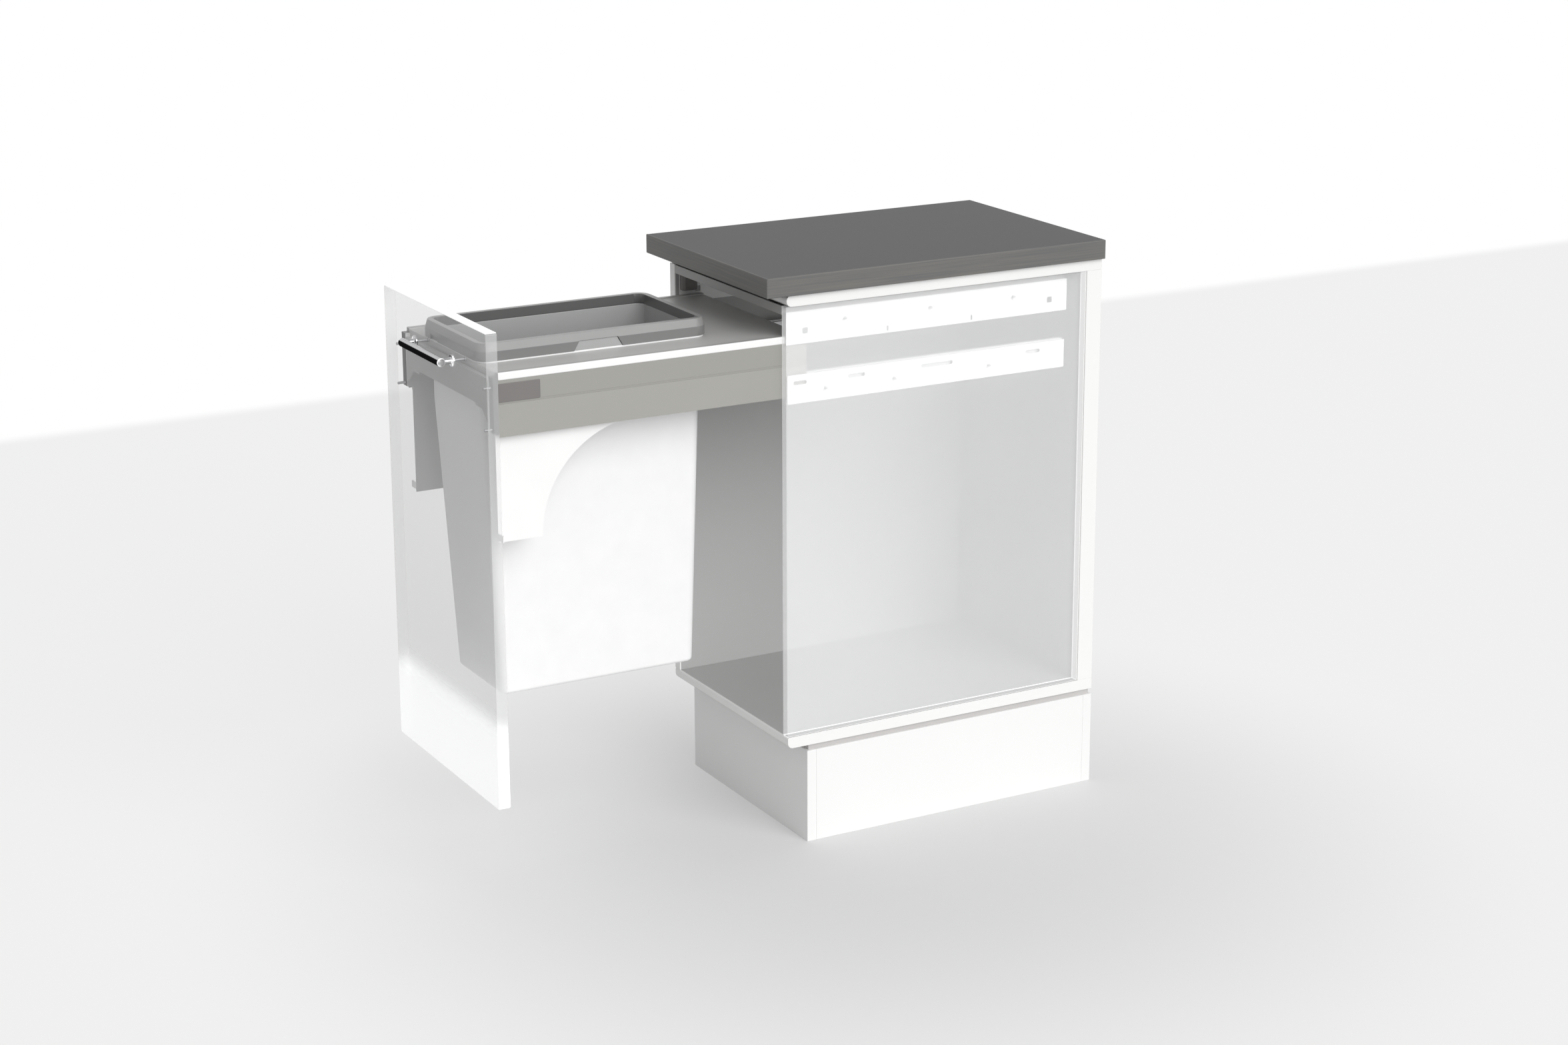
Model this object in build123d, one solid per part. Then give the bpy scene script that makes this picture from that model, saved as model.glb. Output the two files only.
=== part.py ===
"""Pull-out trash cabinet: a narrow base unit whose front carries one tall bin on telescopic runners.

Millimetres. +Z is up and +Y points to the wall, so the front faces -Y. The origin lies at floor level,
midway across the unit, on the wall plane. "near" pieces are on the +X side and "far" pieces mirror them.
The pull-out is modelled extended. Its sizes are given from the carcass front edge as it stands when shut.
"""

from build123d import *
import os

# ---- Driving dimensions ------------------------------------------------------------------------------

# Carcass
CABINET_WIDTH = 380.0
CABINET_DEPTH = 563.0
CARCASS_HEIGHT = 711.0
CARCASS_BOARD = 18.0  # top and bottom panels
SIDE_BOARD = 16.0  # far side, white board
CLEAR_SHEET = 14.0  # near side, clear sheet
POST_WIDTH = 18.0
POST_DEPTH = 28.0
BACK_BOARD = 8.0
REAR_RAIL_HEIGHT = 90.0
BOTTOM_NOSE_ROUND = 4.0

# Worktop
WORKTOP_THICKNESS = 30.0
WORKTOP_FRONT_OVERHANG = 37.0
WORKTOP_SIDE_OVERHANG = 8.0
EDGE_BAND = 2.0
EDGE_BAND_ROUND = 1.5

# Plinth, legs and feet
PLINTH_HEIGHT = 150.0
PLINTH_BOARD = 16.0
PLINTH_SETBACK = 34.0
SEAL_HEIGHT = 9.0
SEAL_INSET = 4.0
SEAL_WIDTH = 8.0
LEG_RADIUS = 15.0
LEG_FLANGE = 60.0
LEG_FLANGE_THICKNESS = 8.0
LEG_SIDE_INSET = 50.0  # leg axis from the side of the carcass
LEG_FRONT_INSET = 90.0  # leg axis from the carcass front edge
LEG_REAR_INSET = 58.0  # leg axis from the wall plane
FOOT_RADIUS = 27.5
FOOT_THICKNESS = 8.0
FOOT_STUD_RADIUS = 6.0
FOOT_STUD_LENGTH = 60.0
CLIP_WALL = 3.0
CLIP_HEIGHT = 20.0
CLIP_LEVEL = 70.0  # underside of the clip above the floor
CLIP_ARM = 18.0

# Fixed cover and the rails under it
COVER_THICKNESS = 8.0
COVER_LENGTH = 500.0
COVER_HEAD_GAP = 3.5  # above the cover plate
COVER_LIP_THICKNESS = 3.0
COVER_LIP_DROP = 2.5  # below the cover plate
COVER_LIP_GAP = 0.5  # above the lip
UPPER_RAIL_START = 8.0
UPPER_RAIL_LENGTH = 500.0
UPPER_RAIL_HEIGHT = 50.0
UPPER_RAIL_FLANGE = 14.0
RAIL_SHEET = 1.5
RAIL_HOLE = 9.0
RAIL_HOLE_END = 32.0  # hole centre from either end of the rail
RAIL_HOLE_LEVEL = 19.5  # hole centre above the lower edge
RAIL_SLIT_END = 175.0
RAIL_SLIT_WIDTH = 3.0
RAIL_SLIT_HEIGHT = 8.0
RAIL_SLIT_LEVEL = 3.0  # slit's lower end above the lower edge
STOP_LENGTH = 27.0
STOP_HEIGHT = 28.0
STOP_THICKNESS = 12.0

# Pull-out travel and the hollow drawer sides
TRAVEL = 460.0
FRONT_GAP = 3.0  # front panel to carcass when shut
SIDE_START = 5.0
SIDE_GAP = 4.0  # drawer side to carcass side
SIDE_WIDTH = 15.0
SIDE_HEIGHT = 83.0
SIDE_SHEET = 1.5
SIDE_STEP = 0.8  # the outer skin's upper part is set in
SIDE_STEP_LEVEL = 48.0
SIDE_GROOVE_DEPTH = 0.5
SIDE_GROOVE_HEIGHT = 3.0
TOP_RAIL_HEIGHT = 11.5
CAP_LENGTH = 65.0
CAP_HEIGHT = 27.0
CAP_THICKNESS = 1.2
DRAWER_BACK_SHEET = 2.0

# Telescopic runners: three nested members
RUNNER_START = 10.0
RUNNER_REAR_GAP = 30.0  # fixed member's rear end to the rear posts
RUNNER_SHEET = 1.5
RUNNER_GAP = 0.5
RUNNER_HEIGHT = 34.0
RUNNER_LIP = 6.5
RUNNER_LEVEL = 2.0  # fixed member's lower lip above the drawer side's lower edge
RUNNER_BASE_DROP = 9.5  # bracket's floor below the drawer side's lower edge
RUNNER_PLATE_HEIGHT = 44.0
RUNNER_SLOT_HEIGHT = 6.0
RUNNER_SLOT_LEVEL = 31.5
RUNNER_SLOTS = ((21.5, 23.0), (119.0, 30.0), (261.5, 57.0), (436.5, 27.0))  # centre along the member, length
MIDDLE_WEB_INSET = 1.5  # middle member's web in from its lip's outer edge

# Front panel, its brackets and the rail behind it
FRONT_THICKNESS = 18.0
FRONT_TOP_GAP = 3.0  # under the worktop
FRONT_DROP = 5.0  # below the bottom panel
FRONT_BEVEL = 0.8
BRACKET_SHEET = 2.0
BRACKET_RISE = 5.0  # flange above the drawer side
FLANGE_LIFT = 6.0  # flange's lower end above the drawer side's lower edge
GUSSET_RADIUS = 160.0
GUSSET_FOOT = 78.0
FOOT_TAB_WIDTH = 17.0
FOOT_TAB_HEIGHT = 10.0
FOOT_TAB_LEVEL = 4.0
WING_WIDTH = 47.0  # plate on the panel's back, under the cross rail
WING_HEIGHT = 26.0
WING_TIP_WIDTH = 22.0
WING_TIP_HEIGHT = 4.0
CROSS_RAIL_HEIGHT = 44.0

# Handle
HANDLE_LENGTH = 150.0
HANDLE_RADIUS = 6.5
HANDLE_DROP = 63.0  # bar axis below the panel's top edge
HANDLE_STANDOFF = 19.5  # bar axis to panel face
HANDLE_END = 5.5  # leg axis from the bar's end
HANDLE_LEG_RADIUS = 4.5
ROSETTE_RADIUS = 9.0
ROSETTE_THICKNESS = 3.0

# Top plate, bin and ring
PLATE_THICKNESS = 10.0
PLATE_SEAT = 5.0
BIN_HALF_WIDTH = 98.5
BIN_FRONT = 12.0
BIN_LENGTH = 353.0
BIN_CORNER = 16.0
BIN_SIDE_TAPER = 13.5  # the base is drawn in by this on each side
BIN_FRONT_TAPER = 22.5
BIN_REAR_TAPER = 10.5
BIN_BASE_CORNER = 13.0
BIN_BASE_ROUND = 6.0
BIN_DEPTH = 513.0  # rim's underside to base
BIN_STRAIGHT = 93.0
BIN_WALL = 2.5
BIN_RIM = 7.5
BIN_RIM_THICKNESS = 3.0
BIN_CLEARANCE = 1.0  # bin to the plate's opening
COLLAR_HEIGHT = 11.0  # the bin's neck above its rim, inside the ring
COLLAR_CLEARANCE = 0.5
RING_HEIGHT = 26.0
RING_BEVEL_HEIGHT = 12.0
RING_OVERHANG = 1.5
RING_TOP_WIDTH = 9.0
RING_INNER_STEP = 0.5
RING_CORNER = 20.0
RING_TOP_CLEARANCE = 7.0  # under the cover's lip
NOTCH_BASE = 78.0
NOTCH_TOP = 61.0
NOTCH_HEIGHT = 14.0
NOTCH_CENTRE = 188.0  # along the ring, from its front
TAB_THICKNESS = 4.0
TAB_CLEARANCE = 0.3
GRIP_CENTRE = -58.0
GRIP_WIDTH = 26.0
GRIP_HEIGHT = 7.0
GRIP_DEPTH = 3.0

# Screws
SCREW_RADIUS = 2.0
SCREW_CLEARANCE = 0.15
SCREW_HEAD_RADIUS = 3.6
SCREW_HEAD_THICKNESS = 1.2
SCREW_GRIP = 10.0  # length held in a side panel
UPPER_SCREW_LEVEL = 32.0
UPPER_SCREWS = (100.0, 250.0, 400.0)  # along the upper rail
RUNNER_SCREW_LEVEL = 20.0
RUNNER_SCREWS = (65.0, 185.0, 355.0)  # along the fixed runner member
BRACKET_SCREW_LENGTH = 20.0
BRACKET_HEAD_RADIUS = 3.8
BRACKET_HEAD_THICKNESS = 2.4
BRACKET_SCREW_INSET = 11.0  # from the ends of the drawer side's height
HANDLE_SCREW_LENGTH = 28.0
HANDLE_HEAD_THICKNESS = 2.2
WORKTOP_SCREW_LENGTH = 32.0
WORKTOP_HEAD_RADIUS = 4.2
WORKTOP_HEAD_DEPTH = 3.0
WORKTOP_SCREW_INSET = 55.0
SLIDE_CLEARANCE = 0.05  # a curved face against a curved face in one group

# ---- Levels and planes worked out from them ----------------------------------------------------------

half_width = CABINET_WIDTH / 2
inner_half = half_width - SIDE_BOARD
front = -CABINET_DEPTH
side_rear = -POST_DEPTH

bottom_low = PLINTH_HEIGHT + SEAL_HEIGHT
bottom_high = bottom_low + CARCASS_BOARD
top_high = bottom_low + CARCASS_HEIGHT
top_low = top_high - CARCASS_BOARD
worktop_high = top_high + WORKTOP_THICKNESS

cover_high = top_low - COVER_HEAD_GAP
cover_low = cover_high - COVER_THICKNESS
lip_low = cover_low - COVER_LIP_DROP
rail_high = cover_low
rail_low = rail_high - UPPER_RAIL_HEIGHT

ring_high = lip_low - RING_TOP_CLEARANCE
ring_low = ring_high - RING_HEIGHT
collar_high = ring_low + COLLAR_HEIGHT
rim_low = ring_low - BIN_RIM_THICKNESS
plate_high = rim_low
plate_low = plate_high - PLATE_THICKNESS
side_high = plate_low
side_low = side_high - SIDE_HEIGHT

side_outer = inner_half - SIDE_GAP
side_inner = side_outer - SIDE_WIDTH
hollow_inner = side_inner + SIDE_SHEET
hollow_outer = side_outer - SIDE_SHEET
plate_edge = side_inner + PLATE_SEAT
web_inner = side_inner - BRACKET_SHEET

runner_length = side_rear - RUNNER_REAR_GAP - (front + RUNNER_START)
drawer_front = front - TRAVEL  # the pull-out's own zero, at rest
middle_front = front - TRAVEL / 2
panel_back = drawer_front - FRONT_GAP
panel_face = panel_back - FRONT_THICKNESS
side_start = drawer_front + SIDE_START
side_end = drawer_front + RUNNER_START + runner_length
side_middle_x = (side_inner + side_outer) / 2

panel_low = bottom_low - FRONT_DROP
panel_high = top_high - FRONT_TOP_GAP
handle_level = panel_high - HANDLE_DROP
handle_y = panel_face - HANDLE_STANDOFF
handle_leg_x = HANDLE_LENGTH / 2 - HANDLE_END

leg_places = {
    f"{depth}_{side}": (sign * (half_width - LEG_SIDE_INSET), y)
    for depth, y in (("front", front + LEG_FRONT_INSET), ("rear", -LEG_REAR_INSET))
    for side, sign in (("near", 1), ("far", -1))
}

pieces = {}


# ---- Helpers -----------------------------------------------------------------------------------------


def block(x, y, z):
    """A box between a low and a high limit along each axis."""
    spans = (x, y, z)
    size = [abs(high - low) for low, high in spans]
    centre = [(high + low) / 2 for low, high in spans]
    return Pos(*centre) * Box(*size)


def rod(start, direction, radius, length):
    """A cylinder that starts at a point and runs along a direction."""
    lengthwise = Cylinder(radius, length, align=(Align.CENTER, Align.CENTER, Align.MIN))
    return Plane(origin=start, z_dir=direction) * lengthwise


def screw(start, direction, length, head_radius, head_thickness):
    """A pan-head screw: the shank runs from the seat, the head stands the other way."""
    back = tuple(-part for part in direction)
    return rod(start, direction, SCREW_RADIUS, length) + rod(start, back, head_radius, head_thickness)


def screw_hole(start, direction, length):
    """The clearance hole for a screw's shank."""
    return rod(start, direction, SCREW_RADIUS + SCREW_CLEARANCE, length + SCREW_CLEARANCE)


def both_sides(name, near_piece):
    """The near piece and its mirror image on the far side, as two nodes."""
    pieces[f"{name}_near"] = near_piece
    pieces[f"{name}_far"] = mirror(near_piece, about=Plane.YZ)


def rounded_face(half, y_low, y_high, level, corner):
    """A horizontal face with round corners, centred across the unit."""
    face = RectangleRounded(2 * half, y_high - y_low, corner)
    return Pos(0, (y_low + y_high) / 2, level) * face


def rounded_prism(half, y_low, y_high, z, corner):
    """A rounded rectangle raised from one level to another."""
    return extrude(rounded_face(half, y_low, y_high, z[0], corner), z[1] - z[0])


# ---- Carcass -----------------------------------------------------------------------------------------


def rail_screw_seats():
    """Seats of the screws that hold the upper rail and the runner, on the near side."""
    x = inner_half - RAIL_SHEET
    upper_start = front + UPPER_RAIL_START
    upper = [(x, upper_start + along, rail_low + UPPER_SCREW_LEVEL) for along in UPPER_SCREWS]
    runner_start = front + RUNNER_START
    level = side_low - RUNNER_BASE_DROP + RUNNER_SCREW_LEVEL
    runner = [(x, runner_start + along, level) for along in RUNNER_SCREWS]
    return upper, runner


def worktop_screw_places():
    """Screw axes through the top panel, in from its corners."""
    x = half_width - WORKTOP_SCREW_INSET
    return [
        (side * x, y)
        for side in (-1, 1)
        for y in (front + WORKTOP_SCREW_INSET, -WORKTOP_SCREW_INSET)
    ]


def make_carcass():
    bottom = block((-half_width, half_width), (front, 0), (bottom_low, bottom_high))
    nose = bottom.edges().filter_by(Axis.X).group_by(Axis.Y)[0]
    nose += bottom.edges().filter_by(Axis.Z).group_by(Axis.Y)[0]
    pieces["bottom_panel"] = fillet(nose, BOTTOM_NOSE_ROUND)

    top = block((-half_width, half_width), (front, 0), (top_low, top_high))
    for x, y in worktop_screw_places():
        top -= screw_hole((x, y, top_low), (0, 0, 1), CARCASS_BOARD)
        top -= Pos(x, y, top_low + WORKTOP_HEAD_DEPTH / 2) * Cone(
            WORKTOP_HEAD_RADIUS + SCREW_CLEARANCE, SCREW_RADIUS + SCREW_CLEARANCE, WORKTOP_HEAD_DEPTH
        )
    pieces["top_panel"] = top

    side_span = ((front, side_rear), (bottom_high, top_low))
    holes = [
        screw_hole(seat, (1, 0, 0), RAIL_SHEET + SCREW_GRIP)
        for seats in rail_screw_seats()
        for seat in seats
    ]
    near = block((inner_half, inner_half + CLEAR_SHEET), *side_span)
    far = block((inner_half, half_width), *side_span)
    pieces["near_side_panel"] = near - holes
    pieces["far_side_panel"] = mirror(far - holes, about=Plane.YZ)

    post_inner = half_width - POST_WIDTH
    post = block((post_inner, half_width), (side_rear, 0), (bottom_high, top_low))
    both_sides("rear_post", post)
    back_face = side_rear + BACK_BOARD
    between_posts = (-post_inner, post_inner)
    pieces["back_panel"] = block(between_posts, (side_rear, back_face), (bottom_high, top_low))
    pieces["rear_rail_top"] = block(between_posts, (back_face, 0), (top_low - REAR_RAIL_HEIGHT, top_low))
    pieces["rear_rail_bottom"] = block(
        between_posts, (back_face, 0), (bottom_high, bottom_high + REAR_RAIL_HEIGHT)
    )


def make_worktop():
    half = half_width + WORKTOP_SIDE_OVERHANG
    face = front - WORKTOP_FRONT_OVERHANG
    height = (top_high, worktop_high)
    core = block((-half + EDGE_BAND, half - EDGE_BAND), (face + EDGE_BAND, 0), height)
    pilot = WORKTOP_SCREW_LENGTH - CARCASS_BOARD
    core -= [screw_hole((x, y, top_high), (0, 0, 1), pilot) for x, y in worktop_screw_places()]
    pieces["worktop"] = core

    front_band = block((-half, half), (face, face + EDGE_BAND), height)
    outer = front_band.faces().sort_by(Axis.Y)[0]
    pieces["worktop_edge_front"] = fillet(outer.edges(), EDGE_BAND_ROUND)
    side_band = block((half - EDGE_BAND, half), (face + EDGE_BAND, 0), height)
    long_edges = side_band.faces().sort_by(Axis.X)[-1].edges().filter_by(Axis.Y)
    both_sides("worktop_edge", fillet(long_edges, EDGE_BAND_ROUND))

    screws = []
    for x, y in worktop_screw_places():
        shank = rod((x, y, top_low), (0, 0, 1), SCREW_RADIUS, WORKTOP_SCREW_LENGTH)
        head = Pos(x, y, top_low + WORKTOP_HEAD_DEPTH / 2) * Cone(
            WORKTOP_HEAD_RADIUS, SCREW_RADIUS, WORKTOP_HEAD_DEPTH
        )
        screws.append(shank + head)
    pieces["worktop_screws"] = Compound(screws)


# ---- Plinth, legs and feet ---------------------------------------------------------------------------


def make_plinth():
    height = (0, PLINTH_HEIGHT)
    face = front + PLINTH_SETBACK
    front_back = face + PLINTH_BOARD
    rear_front = -PLINTH_BOARD
    pieces["plinth_front"] = block((-half_width, half_width), (face, front_back), height)
    pieces["plinth_back"] = block((-half_width, half_width), (rear_front, 0), height)
    side = block((half_width - PLINTH_BOARD, half_width), (front_back, rear_front), height)
    both_sides("plinth", side)

    seal_height = (PLINTH_HEIGHT, bottom_low)
    outer = half_width - SEAL_INSET
    outer_y = (face + SEAL_INSET, -SEAL_INSET)
    inner = outer - SEAL_WIDTH
    inner_y = (outer_y[0] + SEAL_WIDTH, outer_y[1] - SEAL_WIDTH)
    frame = block((-outer, outer), outer_y, seal_height) - block((-inner, inner), inner_y, seal_height)
    pieces["plinth_seal"] = frame

    socket_low = bottom_low - LEG_FLANGE_THICKNESS
    clips = []
    for place, (x, y) in leg_places.items():
        tube = rod((x, y, FOOT_THICKNESS), (0, 0, 1), LEG_RADIUS, socket_low - FOOT_THICKNESS)
        reach = LEG_FLANGE / 2
        flange = block((x - reach, x + reach), (y - reach, y + reach), (socket_low, bottom_low))
        corners = flange.edges().filter_by(Axis.Z)
        stud_room = rod(
            (x, y, FOOT_THICKNESS), (0, 0, 1), FOOT_STUD_RADIUS + SCREW_CLEARANCE, FOOT_STUD_LENGTH
        )
        pieces[f"leg_{place}"] = tube + fillet(corners, LEG_FLANGE_THICKNESS) - stud_room
        disc = rod((x, y, 0), (0, 0, 1), FOOT_RADIUS, FOOT_THICKNESS)
        stud = rod((x, y, 0), (0, 0, 1), FOOT_STUD_RADIUS, FOOT_THICKNESS + FOOT_STUD_LENGTH)
        pieces[f"foot_{place}"] = disc + stud
        if place.startswith("front"):
            clips.append(plinth_clip(x, y, front_back))
    pieces["plinth_clips"] = Compound(clips)


def plinth_clip(x, y, board_back):
    """A spring clip round a front leg, with an arm that reaches the plinth front."""
    level = (CLIP_LEVEL, CLIP_LEVEL + CLIP_HEIGHT)
    bore = LEG_RADIUS + SLIDE_CLEARANCE
    shell = bore + CLIP_WALL
    ring = rod((x, y, level[0]), (0, 0, 1), shell, CLIP_HEIGHT)
    arm = block((x - CLIP_ARM / 2, x + CLIP_ARM / 2), (board_back, y), level)
    mouth = block((x - CLIP_ARM / 2, x + CLIP_ARM / 2), (y, y + 2 * shell), level)
    return ring + arm - rod((x, y, level[0]), (0, 0, 1), bore, CLIP_HEIGHT) - mouth


# ---- Cover and upper rails ---------------------------------------------------------------------------


def make_cover_and_rails():
    cover = block((-inner_half, inner_half), (front, front + COVER_LENGTH), (cover_low, cover_high))
    lip = block(
        (-inner_half, inner_half), (front, front + COVER_LIP_THICKNESS), (lip_low, top_low - COVER_LIP_GAP)
    )
    pieces["bin_cover"] = cover + lip

    start = front + UPPER_RAIL_START
    end = start + UPPER_RAIL_LENGTH
    inside = inner_half - RAIL_SHEET
    thickness = (inside, inner_half)
    rail = block(thickness, (start, end), (rail_low, rail_high))
    rail += block((inner_half - UPPER_RAIL_FLANGE, inner_half), (start, end), (rail_high - RAIL_SHEET, rail_high))
    hole_level = rail_low + RAIL_HOLE_LEVEL
    for y in (start + RAIL_HOLE_END, end - RAIL_HOLE_END):
        reach = RAIL_HOLE / 2
        rail -= block(thickness, (y - reach, y + reach), (hole_level - reach, hole_level + reach))
    slit_low = rail_low + RAIL_SLIT_LEVEL
    for y in (start + RAIL_SLIT_END, end - RAIL_SLIT_END):
        reach = RAIL_SLIT_WIDTH / 2
        rail -= block(thickness, (y - reach, y + reach), (slit_low, slit_low + RAIL_SLIT_HEIGHT))
    upper_seats, runner_seats = rail_screw_seats()
    rail -= [screw_hole(seat, (1, 0, 0), RAIL_SHEET) for seat in upper_seats]
    both_sides("upper_rail", rail)

    stop_high = rail_high - RAIL_SHEET - RUNNER_GAP
    stop = block(
        (inside - STOP_THICKNESS, inside), (start, start + STOP_LENGTH), (stop_high - STOP_HEIGHT, stop_high)
    )
    lead = stop.edges().filter_by(Axis.Z).group_by(Axis.X)[0]
    both_sides("rail_stop", chamfer(lead, STOP_THICKNESS / 3))

    for name, seats in (("upper_rail_screws", upper_seats), ("runner_screws", runner_seats)):
        near = [
            screw(seat, (1, 0, 0), RAIL_SHEET + SCREW_GRIP, SCREW_HEAD_RADIUS, SCREW_HEAD_THICKNESS)
            for seat in seats
        ]
        pieces[name] = Compound(near + [mirror(one, about=Plane.YZ) for one in near])
    return runner_seats


# ---- Telescopic runners ------------------------------------------------------------------------------


def nested_span(step):
    """Lip-to-lip height of a member: each one nests inside the one before it."""
    inset = step * (RUNNER_SHEET + RUNNER_GAP)
    low = side_low + RUNNER_LEVEL
    return low + inset, low + RUNNER_HEIGHT - inset


def channel(web, lips, y, span):
    """A web with a lip along its upper and lower edge."""
    low, high = span
    section = block(web, y, span)
    section += block(lips, y, (low, low + RUNNER_SHEET))
    section += block(lips, y, (high - RUNNER_SHEET, high))
    return section


def make_runners(screw_seats):
    riser_outer = hollow_outer - RUNNER_GAP
    riser_inner = riser_outer - RUNNER_SHEET
    y = (front + RUNNER_START, front + RUNNER_START + runner_length)
    base = side_low - RUNNER_BASE_DROP
    span = nested_span(0)
    fixed = channel((riser_inner, riser_outer), (riser_outer - RUNNER_LIP, riser_outer), y, span)
    fixed += block((riser_inner, riser_outer), y, (base, span[0]))
    fixed += block((riser_inner, inner_half), y, (base, base + RUNNER_SHEET))
    plate = (inner_half - RAIL_SHEET, inner_half)
    fixed += block(plate, y, (base, base + RUNNER_PLATE_HEIGHT))
    slot_level = base + RUNNER_SLOT_LEVEL
    for along, length in RUNNER_SLOTS:
        slot = SlotOverall(length, RUNNER_SLOT_HEIGHT)
        place = Plane(origin=(plate[0], y[0] + along, slot_level), x_dir=(0, 1, 0), z_dir=(1, 0, 0))
        fixed -= extrude(place * slot, RAIL_SHEET)
    fixed -= [screw_hole(seat, (1, 0, 0), RAIL_SHEET) for seat in screw_seats]
    both_sides("cabinet_runner", fixed)

    middle_outer = riser_inner - RUNNER_GAP
    web_outer = middle_outer - MIDDLE_WEB_INSET
    middle_inner = hollow_inner + RUNNER_SHEET + 2 * RUNNER_GAP
    y = (middle_front + RUNNER_START, middle_front + RUNNER_START + runner_length)
    middle = channel((web_outer - RUNNER_SHEET, web_outer), (middle_inner, middle_outer), y, nested_span(1))
    both_sides("middle_runner", middle)

    web = (hollow_inner, hollow_inner + RUNNER_SHEET)
    lips = (hollow_inner, web_outer - RUNNER_SHEET - RUNNER_GAP)
    y = (drawer_front + RUNNER_START, drawer_front + RUNNER_START + runner_length)
    both_sides("drawer_runner", channel(web, lips, y, nested_span(2)))


# ---- Drawer frame ------------------------------------------------------------------------------------


def make_drawer_sides():
    y = (side_start, side_end)
    step_level = side_low + SIDE_STEP_LEVEL
    upper_outer = side_outer - SIDE_STEP
    upper_hollow = upper_outer - SIDE_SHEET
    side = block((side_inner, side_outer), y, (side_low, step_level))
    side += block((side_inner, upper_outer), y, (step_level, side_high))
    side -= block((hollow_inner, hollow_outer), y, (side_low, step_level - SIDE_SHEET))
    side -= block((hollow_inner, upper_hollow), y, (side_low, side_high - SIDE_SHEET))
    groove = (step_level, step_level + SIDE_GROOVE_HEIGHT)
    side -= block((upper_outer - SIDE_GROOVE_DEPTH, side_outer), y, groove)
    both_sides("drawer_side", side)

    cap = block((upper_outer, upper_outer + CAP_THICKNESS), (side_start, side_start + CAP_LENGTH),
                (groove[1], groove[1] + CAP_HEIGHT))
    face_edges = cap.faces().sort_by(Axis.X)[-1].edges()
    both_sides("cover_cap", chamfer(face_edges, CAP_THICKNESS / 3))

    rail = block((plate_edge, side_outer), y, (side_high, side_high + TOP_RAIL_HEIGHT))
    long_edges = rail.faces().sort_by(Axis.Z)[-1].edges().filter_by(Axis.Y)
    both_sides("side_top_rail", fillet(long_edges, TOP_RAIL_HEIGHT / 8))

    back = (side_end - DRAWER_BACK_SHEET, side_end)
    pieces["drawer_back"] = block((-side_inner, side_inner), back, (side_low, side_high))

    opening = rounded_prism(
        BIN_HALF_WIDTH + BIN_CLEARANCE,
        drawer_front + BIN_FRONT - BIN_CLEARANCE,
        drawer_front + BIN_FRONT + BIN_LENGTH + BIN_CLEARANCE,
        (plate_low, plate_high),
        BIN_CORNER + BIN_CLEARANCE,
    )
    plate = block((-plate_edge, plate_edge), (side_start, back[0]), (plate_low, plate_high))
    pieces["top_plate"] = plate - opening


def bracket_screw_seats():
    """Where the near bracket's screw heads sit, on its flange inside the hollow side."""
    levels = (side_low + BRACKET_SCREW_INSET, side_high - BRACKET_SCREW_INSET)
    return [(side_middle_x, side_start, level) for level in levels]


def bracket_wing():
    """The bracket's plate on the panel's back, which tapers towards the middle under the cross rail."""
    high = side_high - CROSS_RAIL_HEIGHT
    tip = web_inner - WING_WIDTH
    outline = Polyline(
        (web_inner, high),
        (tip, high),
        (tip, high - WING_TIP_HEIGHT),
        (tip + WING_TIP_WIDTH, high - WING_TIP_HEIGHT),
        (web_inner, high - WING_HEIGHT),
        close=True,
    )
    upright = Plane(origin=(0, panel_back, 0), x_dir=(1, 0, 0), z_dir=(0, -1, 0))
    return extrude(upright * make_face(outline), -BRACKET_SHEET)


def make_front():
    panel = block((-half_width, half_width), (panel_face, panel_back), (panel_low, panel_high))
    panel = chamfer(panel.edges(), FRONT_BEVEL)
    bite = BRACKET_SCREW_LENGTH - (side_start - panel_back)
    sunk = [screw_hole((x, panel_back, z), (0, -1, 0), bite) for x, y, z in bracket_screw_seats()]
    panel -= sunk + [mirror(hole, about=Plane.YZ) for hole in sunk]
    for x in (-handle_leg_x, handle_leg_x):
        panel -= screw_hole((x, panel_back, handle_level), (0, -1, 0), FRONT_THICKNESS)
    pieces["front_panel"] = panel

    flange_low = side_low + FLANGE_LIFT
    flange = block((side_inner, side_outer), (panel_back, side_start), (flange_low, side_high + BRACKET_RISE))
    flange -= [screw_hole((x, y, z), (0, -1, 0), y - panel_back) for x, y, z in bracket_screw_seats()]
    gusset_low = side_low - GUSSET_RADIUS
    foot_end = panel_back + GUSSET_FOOT
    tip = foot_end + GUSSET_RADIUS
    outline = Polyline(
        (tip, side_low),
        (tip, side_high),
        (panel_back, side_high),
        (panel_back, flange_low),
        (side_start, flange_low),
        (side_start, gusset_low),
        (foot_end, gusset_low),
    )
    outline += CenterArc((tip, gusset_low), GUSSET_RADIUS, 90, 90)
    web = Pos(web_inner, 0, 0) * extrude(Plane.YZ * make_face(outline), BRACKET_SHEET)
    tab_low = gusset_low + FOOT_TAB_LEVEL
    tab = block((web_inner, side_inner + FOOT_TAB_WIDTH), (side_start, side_start + BRACKET_SHEET),
                (tab_low, tab_low + FOOT_TAB_HEIGHT))
    both_sides("front_bracket", web + flange + tab + bracket_wing())

    near = [
        screw(seat, (0, -1, 0), BRACKET_SCREW_LENGTH, BRACKET_HEAD_RADIUS, BRACKET_HEAD_THICKNESS)
        for seat in bracket_screw_seats()
    ]
    pieces["bracket_screws"] = Compound(near + [mirror(one, about=Plane.YZ) for one in near])
    pieces["front_cross_rail"] = block(
        (-web_inner, web_inner), (panel_back, side_start), (side_high - CROSS_RAIL_HEIGHT, side_high)
    )


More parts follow.
